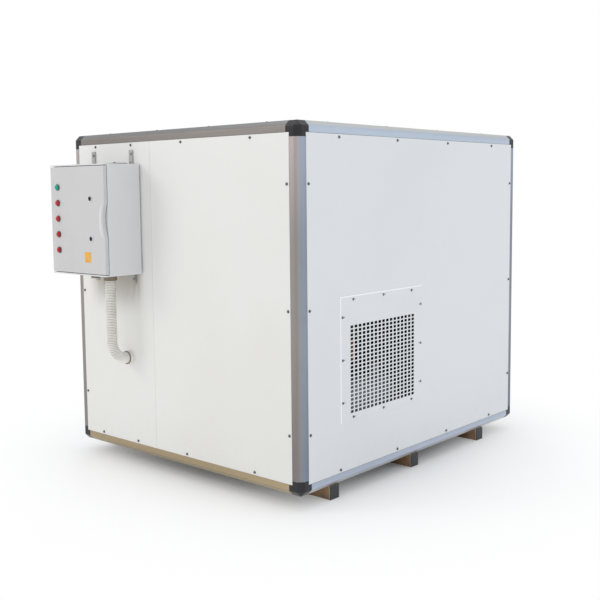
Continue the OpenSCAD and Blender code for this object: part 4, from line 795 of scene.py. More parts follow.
def ring_of(shape, radius, height, sides):
    """A ring of new vertices about Z."""
    angles = [2 * math.pi * i / sides for i in range(sides)]
    return [shape.verts.new((radius * math.cos(a), radius * math.sin(a), height)) for a in angles]


def turned(name, outline, sides=24, crease=35):
    """A turned piece about Z from (radius, height) points, from the bottom axis to the top."""
    shape = bmesh.new()
    rings = []
    for radius, height in outline:
        rings.append(ring_of(shape, radius, height, sides if radius else 1))
    if outline[0][0] and outline[-1][0]:
        rings.append(rings[0])
    for lower, upper in zip(rings, rings[1:]):
        if len(lower) == len(upper):
            bridge(shape, [lower, upper])
            continue
        for i in range(sides):
            j = (i + 1) % sides
            cone = (lower[0], upper[j], upper[i]) if len(lower) == 1 else (lower[i], lower[j], upper[0])
            shape.faces.new(cone)
    bmesh.ops.recalc_face_normals(shape, faces=shape.faces)
    return finish_rounding(shape, name, 0, crease=crease)


def islands(node):
    """The separate solids of a CAD node as (lowest corner, highest corner) pairs."""
    shape = bmesh.new()
    shape.from_mesh(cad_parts[node].data)
    bmesh.ops.remove_doubles(shape, verts=shape.verts, dist=0.00001)
    left = set(shape.verts)
    found = []
    while left:
        front = [left.pop()]
        group = list(front)
        while front:
            vert = front.pop()
            for edge in vert.link_edges:
                other = edge.other_vert(vert)
                if other in left:
                    left.remove(other)
                    front.append(other)
                    group.append(other)
        low = Vector([min(v.co[k] for v in group) for k in range(3)])
        high = Vector([max(v.co[k] for v in group) for k in range(3)])
        found.append((low, high))
    shape.free()
    return found


def screw_places():
    """Where each screw's washer lies, and the way that its head looks."""
    centre = (cad_low + cad_high) / 2
    places = []
    for low, high in islands("panel_screws"):
        size = high - low
        middle = (low + high) / 2
        along = max(range(3), key=lambda axis: size[axis])
        outward = 1 if middle[along] > centre[along] else -1
        head = middle.copy()
        head[along] = (high if outward > 0 else low)[along] - outward * 0.005
        way = Vector()
        way[along] = outward
        places.append((head, way, middle.x * 37 + middle.z * 53))
    return places


def opened(piece):
    """A piece's mesh as a bmesh; the piece is used up."""
    shape = bmesh.new()
    shape.from_mesh(piece.data)
    bpy.data.objects.remove(piece)
    return shape


def hex_screw():
    """A screw with a domed washer face and a dished hexagon head, its shank down the axis."""
    disc = [
        (0, -0.018), (0.0012, -0.017), (0.0022, -0.012), (0.0022, 0.0), (0.0064, 0.0),
        (0.0065, 0.0006), (0.0060, 0.0012), (0.0044, 0.0014), (0, 0.0014),
    ]
    hexagon = [
        (0.0042, 0.0012), (0.0044, 0.0018), (0.0044, 0.0043), (0.0038, 0.0050), (0.0030, 0.0050),
        (0.0024, 0.0042),
    ]
    head = opened(turned("screw", disc, 16))
    rings = [ring_of(head, radius, height, 6) for radius, height in hexagon]
    bridge(head, rings)
    head.faces.new(rings[-1])
    head.faces.new(rings[0][::-1])
    return finish_rounding(head, "hex_screw", 0, crease=30)


dark_zinc = coated(
    "dark_zinc", 0.3, (0.15, 0.155, 0.165), (0.24, 0.24, 0.235), (0.3, 0.28, 0.25), (0.12, 0.10, 0.08),
    scales=(140.0, 1500.0), wear=0.2, dust=0.2, roughness=0.34, splash=(0.2, 0.3), Metallic=0.75,
)
sheet_screws = copies("sheet_screws", hex_screw(), screw_places(), dark_zinc)
stands_for(sheet_screws, dark_zinc, "zinc_steel", "panel_screws")


# ---------------------------------------------------------------- intake grille
# One plate of white steel is punched with rows of slots for the cooling air. The punch leaves
# each slot with small round corners and a lip that turns in.
grille_low, grille_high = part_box("intake_grille")
grille_middle = (grille_low + grille_high) / 2
column_count, row_count = 17, 22
column_pitch, row_pitch = 0.0281, 0.0172
slot_width, slot_height = 0.0196, 0.012
field_drop = 0.046
grille_thickness = grille_high.x - grille_low.x


def unrounded(name, shape):
    """A piece straight from a bmesh."""
    mesh = bpy.data.meshes.new(name)
    shape.to_mesh(mesh)
    shape.free()
    return linked(name, mesh)


def slot_cell():
    """One cell of the plate in local X and Y with its slot; its face is at z = 0."""
    shape = bmesh.new()

    def ring(width, height, radius, z):
        corners = [
            (-width / 2, -height / 2, radius), (width / 2, -height / 2, radius),
            (width / 2, height / 2, radius), (-width / 2, height / 2, radius),
        ]
        return [shape.verts.new((p.x, p.y, z)) for p in rounded_outline(corners)]

    def cell_ring(z):
        half_w, half_h = column_pitch / 2, row_pitch / 2
        points = []
        for cx, cy in ((-1, -1), (1, -1), (1, 1), (-1, 1)):
            points += [(cx * half_w, cy * half_h)] * 5
        return [shape.verts.new((x, y, z)) for x, y in points]

    lip = 0.0004
    rings = [
        cell_ring(0),
        ring(slot_width + 2 * lip, slot_height + 2 * lip, 0.0024, 0),
        ring(slot_width, slot_height, 0.0020, -lip),
        ring(slot_width, slot_height, 0.0020, -grille_thickness),
        cell_ring(-grille_thickness),
    ]
    bridge(shape, rings)
    bmesh.ops.remove_doubles(shape, verts=shape.verts, dist=0.000001)
    bmesh.ops.recalc_face_normals(shape, faces=shape.faces)
    return unrounded("slot_cell", shape)


def grille_plate():
    """The slotted field and its plain margin as one mesh."""
    spots = []
    for column in range(column_count):
        for row in range(row_count):
            across = (column - (column_count - 1) / 2) * column_pitch
            up = (row - (row_count - 1) / 2) * row_pitch
            place = (grille_high.x, grille_middle.y + across, grille_middle.z - field_drop + up)
            spots.append((place, (1, 0, 0)))
    shape = opened(copies("slotted_field", slot_cell(), spots, side_shaded_enamel))
    half_w, half_h = column_count * column_pitch / 2, row_count * row_pitch / 2
    inner = [(a * half_w, b * half_h - field_drop) for a, b in ((-1, -1), (1, -1), (1, 1), (-1, 1))]
    reach_w = (grille_high.y - grille_low.y) / 2
    reach_h = (grille_high.z - grille_low.z) / 2
    soft = 0.0006

    def level(x, corners):
        return [
            shape.verts.new((x, grille_middle.y + a, grille_middle.z + b)) for a, b in corners
        ]

    def outer(inset):
        w, h = reach_w - inset, reach_h - inset
        return [(-w, -h), (w, -h), (w, h), (-w, h)]

    rings = [
        level(grille_high.x, inner),
        level(grille_high.x, outer(soft)),
        level(grille_high.x - soft * 0.3, outer(soft * 0.3)),
        level(grille_high.x - soft, outer(0)),
        level(grille_low.x, outer(0)),
        level(grille_low.x, inner),
    ]
    bridge(shape, rings)
    return finish_rounding(shape, "grille_plate", 0, crease=50)


def paint_rim_highlight(material):
    """A painted highlight along the plate's near side edge and its top edge, where those edges catch the
    light.
    """
    tree = material.node_tree
    place = split(tree, object_place(tree))
    near_side = shader_step(tree, place["Y"], grille_low.y + 0.006, grille_low.y + 0.003)
    near_top = shader_step(tree, place["Z"], grille_high.z - 0.005, grille_high.z - 0.003)
    overlay(material, shader_maths(tree, "MAXIMUM", near_side, near_top), (0.98, 0.99, 1.0), "MIX")


# The plate sits in the right wall and takes the darker, cooler painted-shade tones of the side sheets.
plate_enamel = white_enamel("plate_enamel", (0.735, 0.755, 0.775), (0.71, 0.73, 0.75))
paint_rim_highlight(plate_enamel)
stands_for(grille_plate(), plate_enamel, "panel_white", "intake_grille")


# ---------------------------------------------------------------- box strips
# Two slotted steel strips are bolted to the wall and carry the control box. They are cut from
# a coil, so their slots run out at the ends, and are bright zinc plated.
bright_zinc = drawn(
    "bright_zinc", 0.35, 0.85, (0.46, 0.455, 0.44), (0.36, 0.355, 0.345), (1.0, 1.0, 0.08), lines=500.0,
    smudge=0.5, roughness=0.34,
)
dress("mounting_strips", "slotted_strips", 0.0009, 2, bright_zinc, "zinc_steel")


# ---------------------------------------------------------------- control box
# A welded box of folded sheet steel hangs on the strips. Its light grey powder coat is finely
# textured, and its folds have a radius of about the sheet's thickness.
def powder_coat(name, colour, cloud, texture=0.8):
    """Finely textured powder coat."""
    return coated(
        name, texture, colour, cloud, (0.35, 0.35, 0.36), (0.34, 0.32, 0.29), scales=(2.4, 850.0),
        wear=0.2, dust=0.2, roughness=0.42,
    )


box_coat = powder_coat("box_powder_coat", (0.70, 0.705, 0.72), (0.67, 0.675, 0.695))
dress("control_box", "box_shell", 0.0016, 3, box_coat, "box_grey")

dress("blanking_plates", "blank_covers", 0.0009, 2, dark_zinc, "guard_paint")


# ---------------------------------------------------------------- box door
# The door is one folded sheet in a paler, warmer coat than the box. A finger recess is cut in
# its free edge, with a pressed crescent beside it whose coat is lighter, as a painted highlight.
door_low, door_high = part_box("box_door")
door_coat = powder_coat("door_powder_coat", (0.60, 0.59, 0.595), (0.575, 0.565, 0.57))
recess_depth = 0.014
recess_height = 0.15
recess_radius = (recess_height ** 2 / 4 + recess_depth ** 2) / (2 * recess_depth)
bead_offset = 0.017
bead_width = 0.0075
bead_lift = 0.0034


def pressed_crescent():
    """The crescent that is pressed into the door beside the recess, as a low half-round bead."""
    shape = bmesh.new()
    middle_z = (door_low.z + door_high.z) / 2
    centre_x = door_high.x - recess_depth + recess_radius
    radius = recess_radius + bead_offset
    half_angle = math.asin(0.47 * recess_height / recess_radius)
    steps, across = 40, 8
    rows = []
    for i in range(steps + 1):
        share = 2 * i / steps - 1
        angle = math.pi + share * half_angle
        taper = max(0.0, 1 - share ** 2) ** 0.5
        row = []
        for k in range(across + 1):
            offset = 2 * k / across - 1
            lift = bead_lift * taper * max(0.0, 1 - offset ** 2)
            reach = radius + bead_width * offset * taper
            x, z = centre_x + reach * math.cos(angle), middle_z + reach * math.sin(angle)
            row.append(shape.verts.new((x, door_low.y - lift - 0.0001, z)))
        rows.append(row)
    bridge(shape, rows, closed=False)
    bmesh.ops.remove_doubles(shape, verts=shape.verts, dist=0.00002)
    rim = [edge for edge in shape.edges if edge.is_boundary]
    back = bmesh.ops.extrude_edge_only(shape, edges=rim)["geom"]
    back_verts = [item for item in back if isinstance(item, bmesh.types.BMVert)]
    bmesh.ops.translate(shape, verts=back_verts, vec=(0, 0.0006, 0))
    bmesh.ops.contextual_create(shape, geom=[item for item in back if isinstance(item, bmesh.types.BMEdge)])
    bmesh.ops.recalc_face_normals(shape, faces=shape.faces)
    return finish_rounding(shape, "door_crescent", 0, crease=50)


dress("box_door", "door_sheet", 0.0016, 3, door_coat, "box_grey", "door")
# The crescent's lighter coat is a painted highlight along its pressed bead.
crescent_highlight_coat = powder_coat("crescent_painted_highlight_coat", (0.73, 0.73, 0.74), (0.70, 0.70, 0.71))
stands_for(pressed_crescent(), crescent_highlight_coat, "box_grey", body="door")

gasket_foam = coated(
    "gasket_foam", 0.9, (0.030, 0.030, 0.032), (0.045, 0.045, 0.047), (0.03, 0.03, 0.03),
    (0.1, 0.1, 0.1), scales=(60.0, 1100.0), wear=0.0, dust=0.2, roughness=0.85,
)
dress("door_gasket", "door_seal", 0.002, 3, gasket_foam, "gasket_rubber", "door")


# ---------------------------------------------------------------- door hinges
# Two steel hinges with a fixed pin hold the door at its left edge. One leaf is welded to the
# box and one to the door, and both are zinc plated.
dress("box_hinge_leaves", "fixed_leaves", 0.0004, 2, bright_zinc, "zinc_steel")
dress("door_hinge_leaves", "moving_leaves", 0.0004, 2, bright_zinc, "zinc_steel", "door")


# ---------------------------------------------------------------- locks
# Each quarter-turn lock has a chromed die-cast collar in the door and a turning steel barrel
# with a key slot. The tongue behind it swings past the rim of the box.
chrome = drawn(
    "lock_chrome", 0.05, 1.0, (0.78, 0.78, 0.80), (0.72, 0.72, 0.74), (1.0, 1.0, 1.0), lines=300.0,
    smudge=0.5, roughness=0.12,
)
lock_steel = drawn(
    "lock_steel", 0.4, 0.5, (0.020, 0.020, 0.022), (0.012, 0.012, 0.013), (1.0, 0.1, 1.0), lines=700.0,
    smudge=0.4, roughness=0.38,
)
dress("lock_housings", "lock_collars", 0.0010, 3, chrome, "lock_chrome", "door")
collar_low, collar_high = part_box("lock_housings")
insert_outline = [
    (0.0052, -0.0020), (0.0108, -0.0020), (0.0108, -0.0004), (0.0102, 0.0002), (0.0060, 0.0002),
    (0.0052, -0.0006),
]
collar_radius = 0.013
insert_heights = (collar_low.z + collar_radius, collar_high.z - collar_radius)
insert_spots = [((collar_low.x + collar_radius, collar_low.y, z), (0, -1, 0)) for z in insert_heights]
lock_inserts = copies("lock_inserts", turned("insert", insert_outline, 32, 40), insert_spots, lock_steel)
stands_for(lock_inserts, lock_steel, "lock_chrome", body="door")
dress("upper_lock", "upper_lock_core", 0.0004, 2, lock_steel, "lock_steel", "upper_lock")
dress("lower_lock", "lower_lock_core", 0.0004, 2, lock_steel, "lock_steel", "lower_lock")


# ---------------------------------------------------------------- indicator lamps
# Five panel lamps are clamped in the door: a moulded bezel with a fluted rim, a domed lens with
# moulded rings inside it, and a body with two screw terminals behind the sheet.
lamp_moulding = coated(
    "lamp_moulding", 0.25, (0.055, 0.045, 0.047), (0.075, 0.065, 0.065), (0.5, 0.5, 0.5),
    (0.3, 0.29, 0.27), scales=(60.0, 900.0), wear=0.0, dust=0.2, roughness=0.26,
)


def lens_finish(name, colour, deep):
    """Tinted acrylic that glows a little where the light runs round inside it."""
    material, tree, shader = plain_finish(name)
    clouds = shader_noise(tree, object_place(tree), 130.0, 2.0, 0.5)
    values = {
        "Base Color": shader_ramp(tree, clouds, deep, colour, 0.3, 0.7),
        "Roughness": 0.16,
        "Specular IOR Level": 0.3,
        "Coat Weight": 0.25,
        "Coat Roughness": 0.04,
        "Subsurface Weight": 0.15,
        "Subsurface Radius": (0.004, 0.004, 0.004),
    }
    set_inputs(tree, shader, values)
    return material


lens_half = (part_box("green_lens")[1].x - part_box("green_lens")[0].x) / 2
lens_spots = [((low + high) / 2, low.y) for low, high in islands("red_lenses") + islands("green_lens")]
lens_spots.sort(key=lambda spot: -spot[0].z)
lamp_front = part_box("lamp_holders")[0].y
lamp_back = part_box("lamp_holders")[1].y


def lamp_dome(name):
    """A domed lens with three shallow moulded rings, its base at z = 0."""
    outline = [(0, -0.0035), (lens_half * 0.99, -0.0035), (lens_half, 0.0)]
    dome_height = lamp_front - lens_spots[0][1]
    rings = 14
    for i in range(1, rings):
        angle = math.pi / 2 * i / rings
        ripple = 0.00016 * math.cos(6 * angle * 2)
        outline.append((lens_half * math.cos(angle) + ripple, dome_height * math.sin(angle)))
    outline.append((0, dome_height))
    return turned(name, outline, 40, 60)


def lamp_bezel():
    """The fluted bezel and the body behind the sheet, the bezel's face at z = 0."""
    bezel_radius = (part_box("lamp_holders")[1].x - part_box("lamp_holders")[0].x) / 2
    depth = lamp_back - lamp_front
    body = turned(
        "lamp_body",
        [
            (0.0, -depth), (0.0102, -depth), (0.0108, -depth + 0.001), (0.0108, -0.0052),
            (bezel_radius - 0.0003, -0.0050), (bezel_radius, -0.0042), (bezel_radius, -0.0016),
            (bezel_radius - 0.0003, -0.0006), (bezel_radius - 0.0008, 0.0), (lens_half + 0.0003, -0.0001),
            (lens_half + 0.0002, -0.0038), (0, -0.0038),
        ],
        48,
    )
    shape = opened(body)
    flutes = 24
    for i in range(flutes):
        angle = 2 * math.pi * i / flutes
        added = bmesh.ops.create_cube(shape, size=1)["verts"]
        bmesh.ops.scale(shape, verts=added, vec=(0.0006, 0.0012, 0.0026))
        bmesh.ops.translate(shape, verts=added, vec=(bezel_radius - 0.00028, 0, -0.0030))
        bmesh.ops.rotate(shape, verts=added, cent=(0, 0, 0), matrix=Matrix.Rotation(angle, 3, "Z"))
    return finish_rounding(shape, "lamp_bezel", 0, crease=35)


front_way = (0, -1, 0)
bezel_spots = [((middle.x, lamp_front, middle.z), front_way) for middle, _ in lens_spots]
bezels = copies("lamp_bezels", lamp_bezel(), bezel_spots, lamp_moulding)
stands_for(bezels, lamp_moulding, "lamp_white", "lamp_holders", body="door")
green_acrylic = lens_finish("green_acrylic", (0.0, 0.40, 0.27), (0.0, 0.27, 0.19))
red_acrylic = lens_finish("red_acrylic", (0.58, 0.004, 0.022), (0.34, 0.002, 0.012))

green_dome = copies("green_dome", lamp_dome("dome"), bezel_spots[:1], green_acrylic)
stands_for(green_dome, green_acrylic, "lens_green", "green_lens", body="door")
red_domes = copies("red_domes", lamp_dome("dome"), bezel_spots[1:], red_acrylic)
stands_for(red_domes, red_acrylic, "lens_red", "red_lenses", body="door")


# ---------------------------------------------------------------- blank plate
# A small amber plate is glued low on the door. It is bare, with rounded corners and a clear
# lacquer over its colour.
amber = coated(
    "amber_lacquer", 0.1, (0.80, 0.40, 0.02), (0.70, 0.32, 0.015), (0.6, 0.55, 0.4), (0.4, 0.3, 0.15),
    scales=(28.0, 900.0), wear=0.5, dust=0.1, roughness=0.3, Coat_Weight=0.5,
)
dress("blank_plate", "amber_plate", 0.0003, 2, amber, "plate_amber", "door")


# ---------------------------------------------------------------- conduit
# A corrugated hose of light grey plastic takes the cables from the box into the wall. Its ribs
# are 7 mm apart, and it is clamped in a gland at the top and in a bushing at the wall.
def build_hose_tree():
    """Sweeps a ring along a curve and swells it in even ribs."""
    tree, given, result = geometry_tree(
        "ribbed hose",
        [("Radius", "Float"), ("Rib depth", "Float"), ("Rib pitch", "Float"), ("Finish", "Material")],
    )

    def maths(operation, first, second=0.0):
        return shader_maths(tree, operation, first, second)

    step = maths("DIVIDE", given["Rib pitch"], 6.0)
    path = {"Length": step, "Curve": given["Geometry"]}
    path = add_node(tree, "GeometryNodeResampleCurve", path, mode="LENGTH").outputs["Curve"]
    along = add_node(tree, "GeometryNodeSplineParameter").outputs["Length"]
    wave = maths("SINE", maths("MULTIPLY", maths("DIVIDE", along, given["Rib pitch"]), 2 * math.pi))
    radius = maths("ADD", maths("MULTIPLY", wave, given["Rib depth"]), given["Radius"])
    path = add_node(tree, "GeometryNodeSetCurveRadius", {"Curve": path, "Radius": radius}).outputs["Curve"]
    rib = {"Name": "rib", "Geometry": path, "Value": wave}
    path = add_node(tree, "GeometryNodeStoreNamedAttribute", rib, data_type="FLOAT", domain="POINT")
    ring = add_node(tree, "GeometryNodeCurvePrimitiveCircle", {"Resolution": 32, "Radius": 1.0})
    sweep = {"Curve": path.outputs["Geometry"], "Profile Curve": ring.outputs["Curve"]}
    sweep = add_node(tree, "GeometryNodeCurveToMesh", sweep)
    if "Scale" in sweep.inputs:
        set_inputs(tree, sweep, {"Scale": radius})
    smooth = add_node(tree, "GeometryNodeSetShadeSmooth", {"Geometry": sweep.outputs["Mesh"]})
    return finish_tree(tree, given, result, smooth.outputs["Geometry"])


def paint_groove_shade(material):
    """The grooves of the hose, where its "rib" attribute is low, are darkened brown as painted shade."""
    tree = material.node_tree
    rib = add_node(tree, "ShaderNodeAttribute", attribute_name="rib").outputs["Fac"]
    overlay(material, shader_step(tree, rib, -0.45, -0.98), (0.30, 0.25, 0.19))


hose_low, hose_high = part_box("conduit")
hose_radius = (hose_high.x - hose_low.x) / 2
hose_x = (hose_low.x + hose_high.x) / 2
hose_y = hose_low.y + hose_radius
entry_z = hose_low.z + hose_radius
hose_bend = 0.078
hose_plastic = coated(
    "hose_plastic", 0.2, (0.88, 0.87, 0.83), (0.82, 0.81, 0.76), (0.6, 0.6, 0.6), (0.33, 0.29, 0.22),
    scales=(14.0, 600.0), wear=0.0, dust=0.55, roughness=0.4, splash=(0.12, 0.6),
)
paint_groove_shade(hose_plastic)


def path_curve(name, points):
    """A poly curve through points."""
    data = bpy.data.curves.new(name, "CURVE")
    data.dimensions = "3D"
    spline = data.splines.new("POLY")
    spline.points.add(len(points) - 1)
    for point, place in zip(spline.points, points):
        point.co = (*place, 1)
    curve = bpy.data.objects.new(name, data)
    scene.collection.objects.link(curve)
    return curve


hose_path = [Vector((hose_x, hose_y, hose_high.z)), Vector((hose_x, hose_y, entry_z + hose_bend))]
bend_steps = 18
for i in range(1, bend_steps + 1):
    angle = math.pi / 2 * i / bend_steps
    inward, down = hose_bend * (1 - math.cos(angle)), hose_bend * (1 - math.sin(angle))
    hose_path.append(Vector((hose_x, hose_y + inward, entry_z + down)))
hose_path.append(Vector((hose_x, hose_high.y, entry_z)))
rib_depth = 0.0022
rib_pitch = 0.0074
hose_values = {"Radius": hose_radius - rib_depth, "Rib depth": rib_depth, "Rib pitch": rib_pitch}
hose_values["Finish"] = hose_plastic
ribbed_hose = grown("ribbed_hose", path_curve("hose_path", hose_path), build_hose_tree(), hose_values)
stands_for(ribbed_hose, hose_plastic, "conduit_plastic", "conduit")


# ---------------------------------------------------------------- hose fittings
# A ribbed gland nut holds the hose below the box, a second gland takes the supply cable, and a
# smooth round bushing carries the hose through the wall. All are moulded in grey plastic.
fitting_plastic = coated(
    "fitting_plastic", 0.12, (0.80, 0.80, 0.78), (0.74, 0.74, 0.72), (0.5, 0.5, 0.5), (0.28, 0.25, 0.2),
    scales=(20.0, 700.0), wear=0.0, dust=0.4, roughness=0.24, Coat_Weight=0.3,
)


def soil_and_shade_fittings(material):
    """The glands and a ring at the mouth of the bushing are tinted brown: painted shade under the control
    box, together with rust water and dirt.
    """
    tree = material.node_tree
    place = split(tree, object_place(tree))
    wall_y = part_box("front_panel_left")[0].y
    mouth_y = min(low.y for low, high in islands("conduit_fittings") if high.y > wall_y)
    above_glands, below_glands = 0.95, 0.90
    share = shader_step(tree, place["Y"], mouth_y + 0.006, mouth_y + 0.002)
    share = shader_maths(tree, "MULTIPLY", share, shader_step(tree, place["Z"], above_glands, below_glands))
    overlay(material, share, (0.24, 0.19, 0.13))


soil_and_shade_fittings(fitting_plastic)
dress("conduit_fittings", "hose_fittings", 0.0016, 3, fitting_plastic, "conduit_plastic")


# ---------------------------------------------------------------- mounting plate
# A galvanised steel plate with its rail and two cable ducts is bolted inside the box. It keeps
# the spangle and the rolling marks of its coil.
galvanised = drawn(
    "galvanised_plate", 0.3, 0.9, (0.52, 0.53, 0.54), (0.42, 0.43, 0.44), (1.0, 1.0, 0.3), lines=160.0,
    smudge=0.6, roughness=0.4,
)
dress("mounting_plate", "gear_plate", 0.0006, 2, galvanised, "zinc_steel")


# ---------------------------------------------------------------- control gear
# Contactors, a controller and a row of terminals clip to the rail. They are moulded in dark
# polyamide, and each terminal has a plated screw in its face.
gear_moulding = coated(
    "gear_moulding", 0.4, (0.045, 0.05, 0.055), (0.06, 0.065, 0.07), (0.1, 0.1, 0.1), (0.2, 0.2, 0.19),
    scales=(40.0, 1100.0), wear=0.1, dust=0.4, roughness=0.45,
)
dress("control_gear", "control_gear_bodies", 0.0010, 2, gear_moulding, "gear_plastic")
gear_screws = []
terminal_width = 0.013
terminal_inset = 0.009
for gear_low, gear_high in islands("control_gear"):
    gear_width = gear_high.x - gear_low.x
    terminals = int(gear_width / terminal_width)
    for column in range(terminals):
        screw_x = gear_low.x + (column + 0.5) * gear_width / terminals
        for screw_z in (gear_low.z + terminal_inset, gear_high.z - terminal_inset):
            spin = screw_x * 61 + screw_z * 43
            gear_screws.append(((screw_x, gear_low.y + 0.0002, screw_z), front_way, spin))


def slotted_head():
    """A small pan head with a cross slot, its face just below z = 0."""
    shape = bmesh.new()
    sides = 20
    outline = ((0.0029, -0.0012), (0.0030, -0.0005), (0.0026, -0.0001))
    rings = [ring_of(shape, radius, height, sides) for radius, height in outline]
    bridge(shape, rings)
    arm, reach = 0.00045, 0.0019
    cross = []
    for quarter in range(4):
        turned_by = Matrix.Rotation(quarter * math.pi / 2, 3, "Z")
        cross += [turned_by @ Vector((*spot, 0)) for spot in ((reach, -arm), (reach, arm), (arm, arm))]
    top = [shape.verts.new((p.x, p.y, -0.0001)) for p in cross]
    deep = [shape.verts.new((p.x, p.y, -0.0010)) for p in cross]
    bridge(shape, [top, deep])
    shape.faces.new(deep)
    shape.faces.new(rings[0][::-1])
    face_edges = [shape.edges.get((rings[-1][i], rings[-1][(i + 1) % sides])) for i in range(sides)]
    face_edges += [shape.edges.get((top[i], top[(i + 1) % len(top)])) for i in range(len(top))]
    bmesh.ops.triangle_fill(shape, use_beauty=True, edges=face_edges)
    bmesh.ops.recalc_face_normals(shape, faces=shape.faces)
    return finish_rounding(shape, "slotted_head", 0, crease=30)


terminal_screws = copies("terminal_screws", slotted_head(), gear_screws, bright_zinc)
stands_for(terminal_screws, bright_zinc, "gear_plastic")


# ---------------------------------------------------------------- breaker
# The main breaker is a grey moulded case with a black toggle that pivots in its face. The
# toggle has a ribbed thumb face and throws up to break the circuit.
breaker_moulding = coated(
    "breaker_moulding", 0.3, (0.52, 0.53, 0.54), (0.48, 0.49, 0.50), (0.4, 0.4, 0.4), (0.3, 0.29, 0.27),
    scales=(36.0, 1200.0), wear=0.1, dust=0.3, roughness=0.4,
)
toggle_moulding = coated(
    "toggle_moulding", 0.2, (0.03, 0.03, 0.033), (0.045, 0.045, 0.05), (0.2, 0.2, 0.2), (0.2, 0.2, 0.2),
    scales=(90.0, 1500.0), wear=0.3, dust=0.2, roughness=0.32,
)
dress("breaker", "breaker_case", 0.0010, 3, breaker_moulding, "breaker_plastic")
dress("breaker_toggle", "toggle_lever", 0.0008, 3, toggle_moulding, "toggle_plastic", "breaker_toggle")


# ---------------------------------------------------------------- exchangers
# Two welded steel shells, one above the other, lie along the cabinet: the precooler and the
# evaporator. They are sprayed blue-grey over shot-blasted plate, with a bead at each seam.
vessel_coat = coated(
    "vessel_coat", 0.5, (0.13, 0.19, 0.26), (0.10, 0.155, 0.22), (0.23, 0.13, 0.07), (0.17, 0.15, 0.12),
    scales=(5.0, 520.0), wear=0.4, dust=0.5, roughness=0.36, splash=(0.1, 0.3),
)


def weld_bead(name, radius, places):
    """Rings of overlapping weld ripples around the Y axis at each (x, y, z)."""
    shape = bmesh.new()
    ripples, across = 220, 8
    rows = []
    for i in range(ripples):
        angle = 2 * math.pi * i / ripples
        ripple = 0.00028 * (i % 2)
        row = []
        for k in range(across):
            turn_by = 2 * math.pi * k / across
            reach = radius - 0.0012 + (0.0028 - ripple) * math.cos(turn_by)
            place = (reach * math.cos(angle), reach * math.sin(angle), 0.0042 * math.sin(turn_by))
            row.append(shape.verts.new(place))
        rows.append(row)
    bridge(shape, rows + rows[:1])
    bmesh.ops.recalc_face_normals(shape, faces=shape.faces)
    bead = finish_rounding(shape, name, 0, crease=80)
    return copies(name, bead, [(place, (0, 1, 0)) for place in places], vessel_coat)


seam_inset = 0.046
for shell_node in ("precooler", "evaporator"):
    shell_low, shell_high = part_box(shell_node)
    dress(shell_node, shell_node + "_shell", 0.0012, 2, vessel_coat, "vessel_paint")
    seam_radius = (shell_high.x - shell_low.x) / 2 - 0.0020
    axis_height = (shell_low.z + shell_high.z) / 2
    seams = [(0, y, axis_height) for y in (shell_low.y + seam_inset, shell_high.y - seam_inset)]
    stands_for(weld_bead(shell_node + "_beads", seam_radius, seams), vessel_coat, "vessel_paint")


# ---------------------------------------------------------------- insulation
# Closed-cell foam sheet is glued round the cold shells with its seams at the back. It has a
# dull skin that is a little puckered.
wrap_foam = coated(
    "wrap_foam", 1.0, (0.028, 0.028, 0.031), (0.045, 0.045, 0.048), (0.03, 0.03, 0.03),
    (0.16, 0.15, 0.13), scales=(9.0, 260.0), wear=0.0, dust=0.6, roughness=0.88,
)
dress("vessel_wraps", "foam_wraps", 0.006, 3, wrap_foam, "wrap_foam")


# ---------------------------------------------------------------- vessel stand
# Square tube legs with rolled saddles carry both shells. The stand is welded and painted dark
# grey.
stand_coat = coated(
    "stand_coat", 0.4, (0.075, 0.08, 0.085), (0.10, 0.105, 0.11), (0.28, 0.15, 0.08), (0.2, 0.18, 0.15),
    scales=(6.0, 600.0), wear=0.6, dust=0.6, roughness=0.48, splash=(0.2, 0.3),
)
dress("vessel_stand", "saddle_stand", 0.0022, 3, stand_coat, "stand_paint")


# ---------------------------------------------------------------- separator
# The moisture separator is an upright dished vessel on three flat legs. It is painted like the
# exchangers.
dress("moisture_separator", "separator_vessel", 0.0010, 2, vessel_coat, "vessel_paint")


# ---------------------------------------------------------------- air pipes
# Steel pipe bends are welded between the vessels, and two of them end in flanges at the rear
# wall. The flange faces are turned to a fine spiral and left bare.
dress("inner_air_pipes", "crossover_pipes", 0.0008, 2, vessel_coat, "vessel_paint")
turned_steel = drawn(
    "turned_steel", 0.5, 1.0, (0.50, 0.49, 0.475), (0.38, 0.37, 0.355), (1.0, 0.02, 1.0), lines=900.0,
    smudge=0.5, roughness=0.3,
)


def raised_face(name, bore_radius):
    """The turned raised face of a flange with its concentric grooves, its front at z = 0."""
    inner = bore_radius + 0.0008
    outline = [(inner, -0.0030), (inner, -0.0006), (inner + 0.0006, 0.0)]
    radius = bore_radius + 0.0030
    while radius < bore_radius + 0.024:
        outline += [(radius, 0.0), (radius + 0.0006, -0.00045), (radius + 0.0012, 0.0)]
        radius += 0.0022
    outline += [(radius + 0.0010, 0.0), (radius + 0.0016, -0.0006), (radius + 0.0016, -0.0030)]
    return turned(name, outline, 72, 60)


for pipe_node, pipe_x in (("air_inlet_pipe", 0.0), ("air_outlet_pipe", 0.3)):
    pipe_low, pipe_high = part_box(pipe_node)
    flange_z = (pipe_low.z + pipe_high.z) / 2
    dress(pipe_node, pipe_node + "_welded", 0.0012, 3, vessel_coat, "vessel_paint")
    face_spot = [((pipe_x, pipe_high.y, flange_z), (0, 1, 0))]
    face_ring = copies(pipe_node + "_face", raised_face("face", 0.0415), face_spot, turned_steel)
    stands_for(face_ring, turned_steel, "vessel_paint")


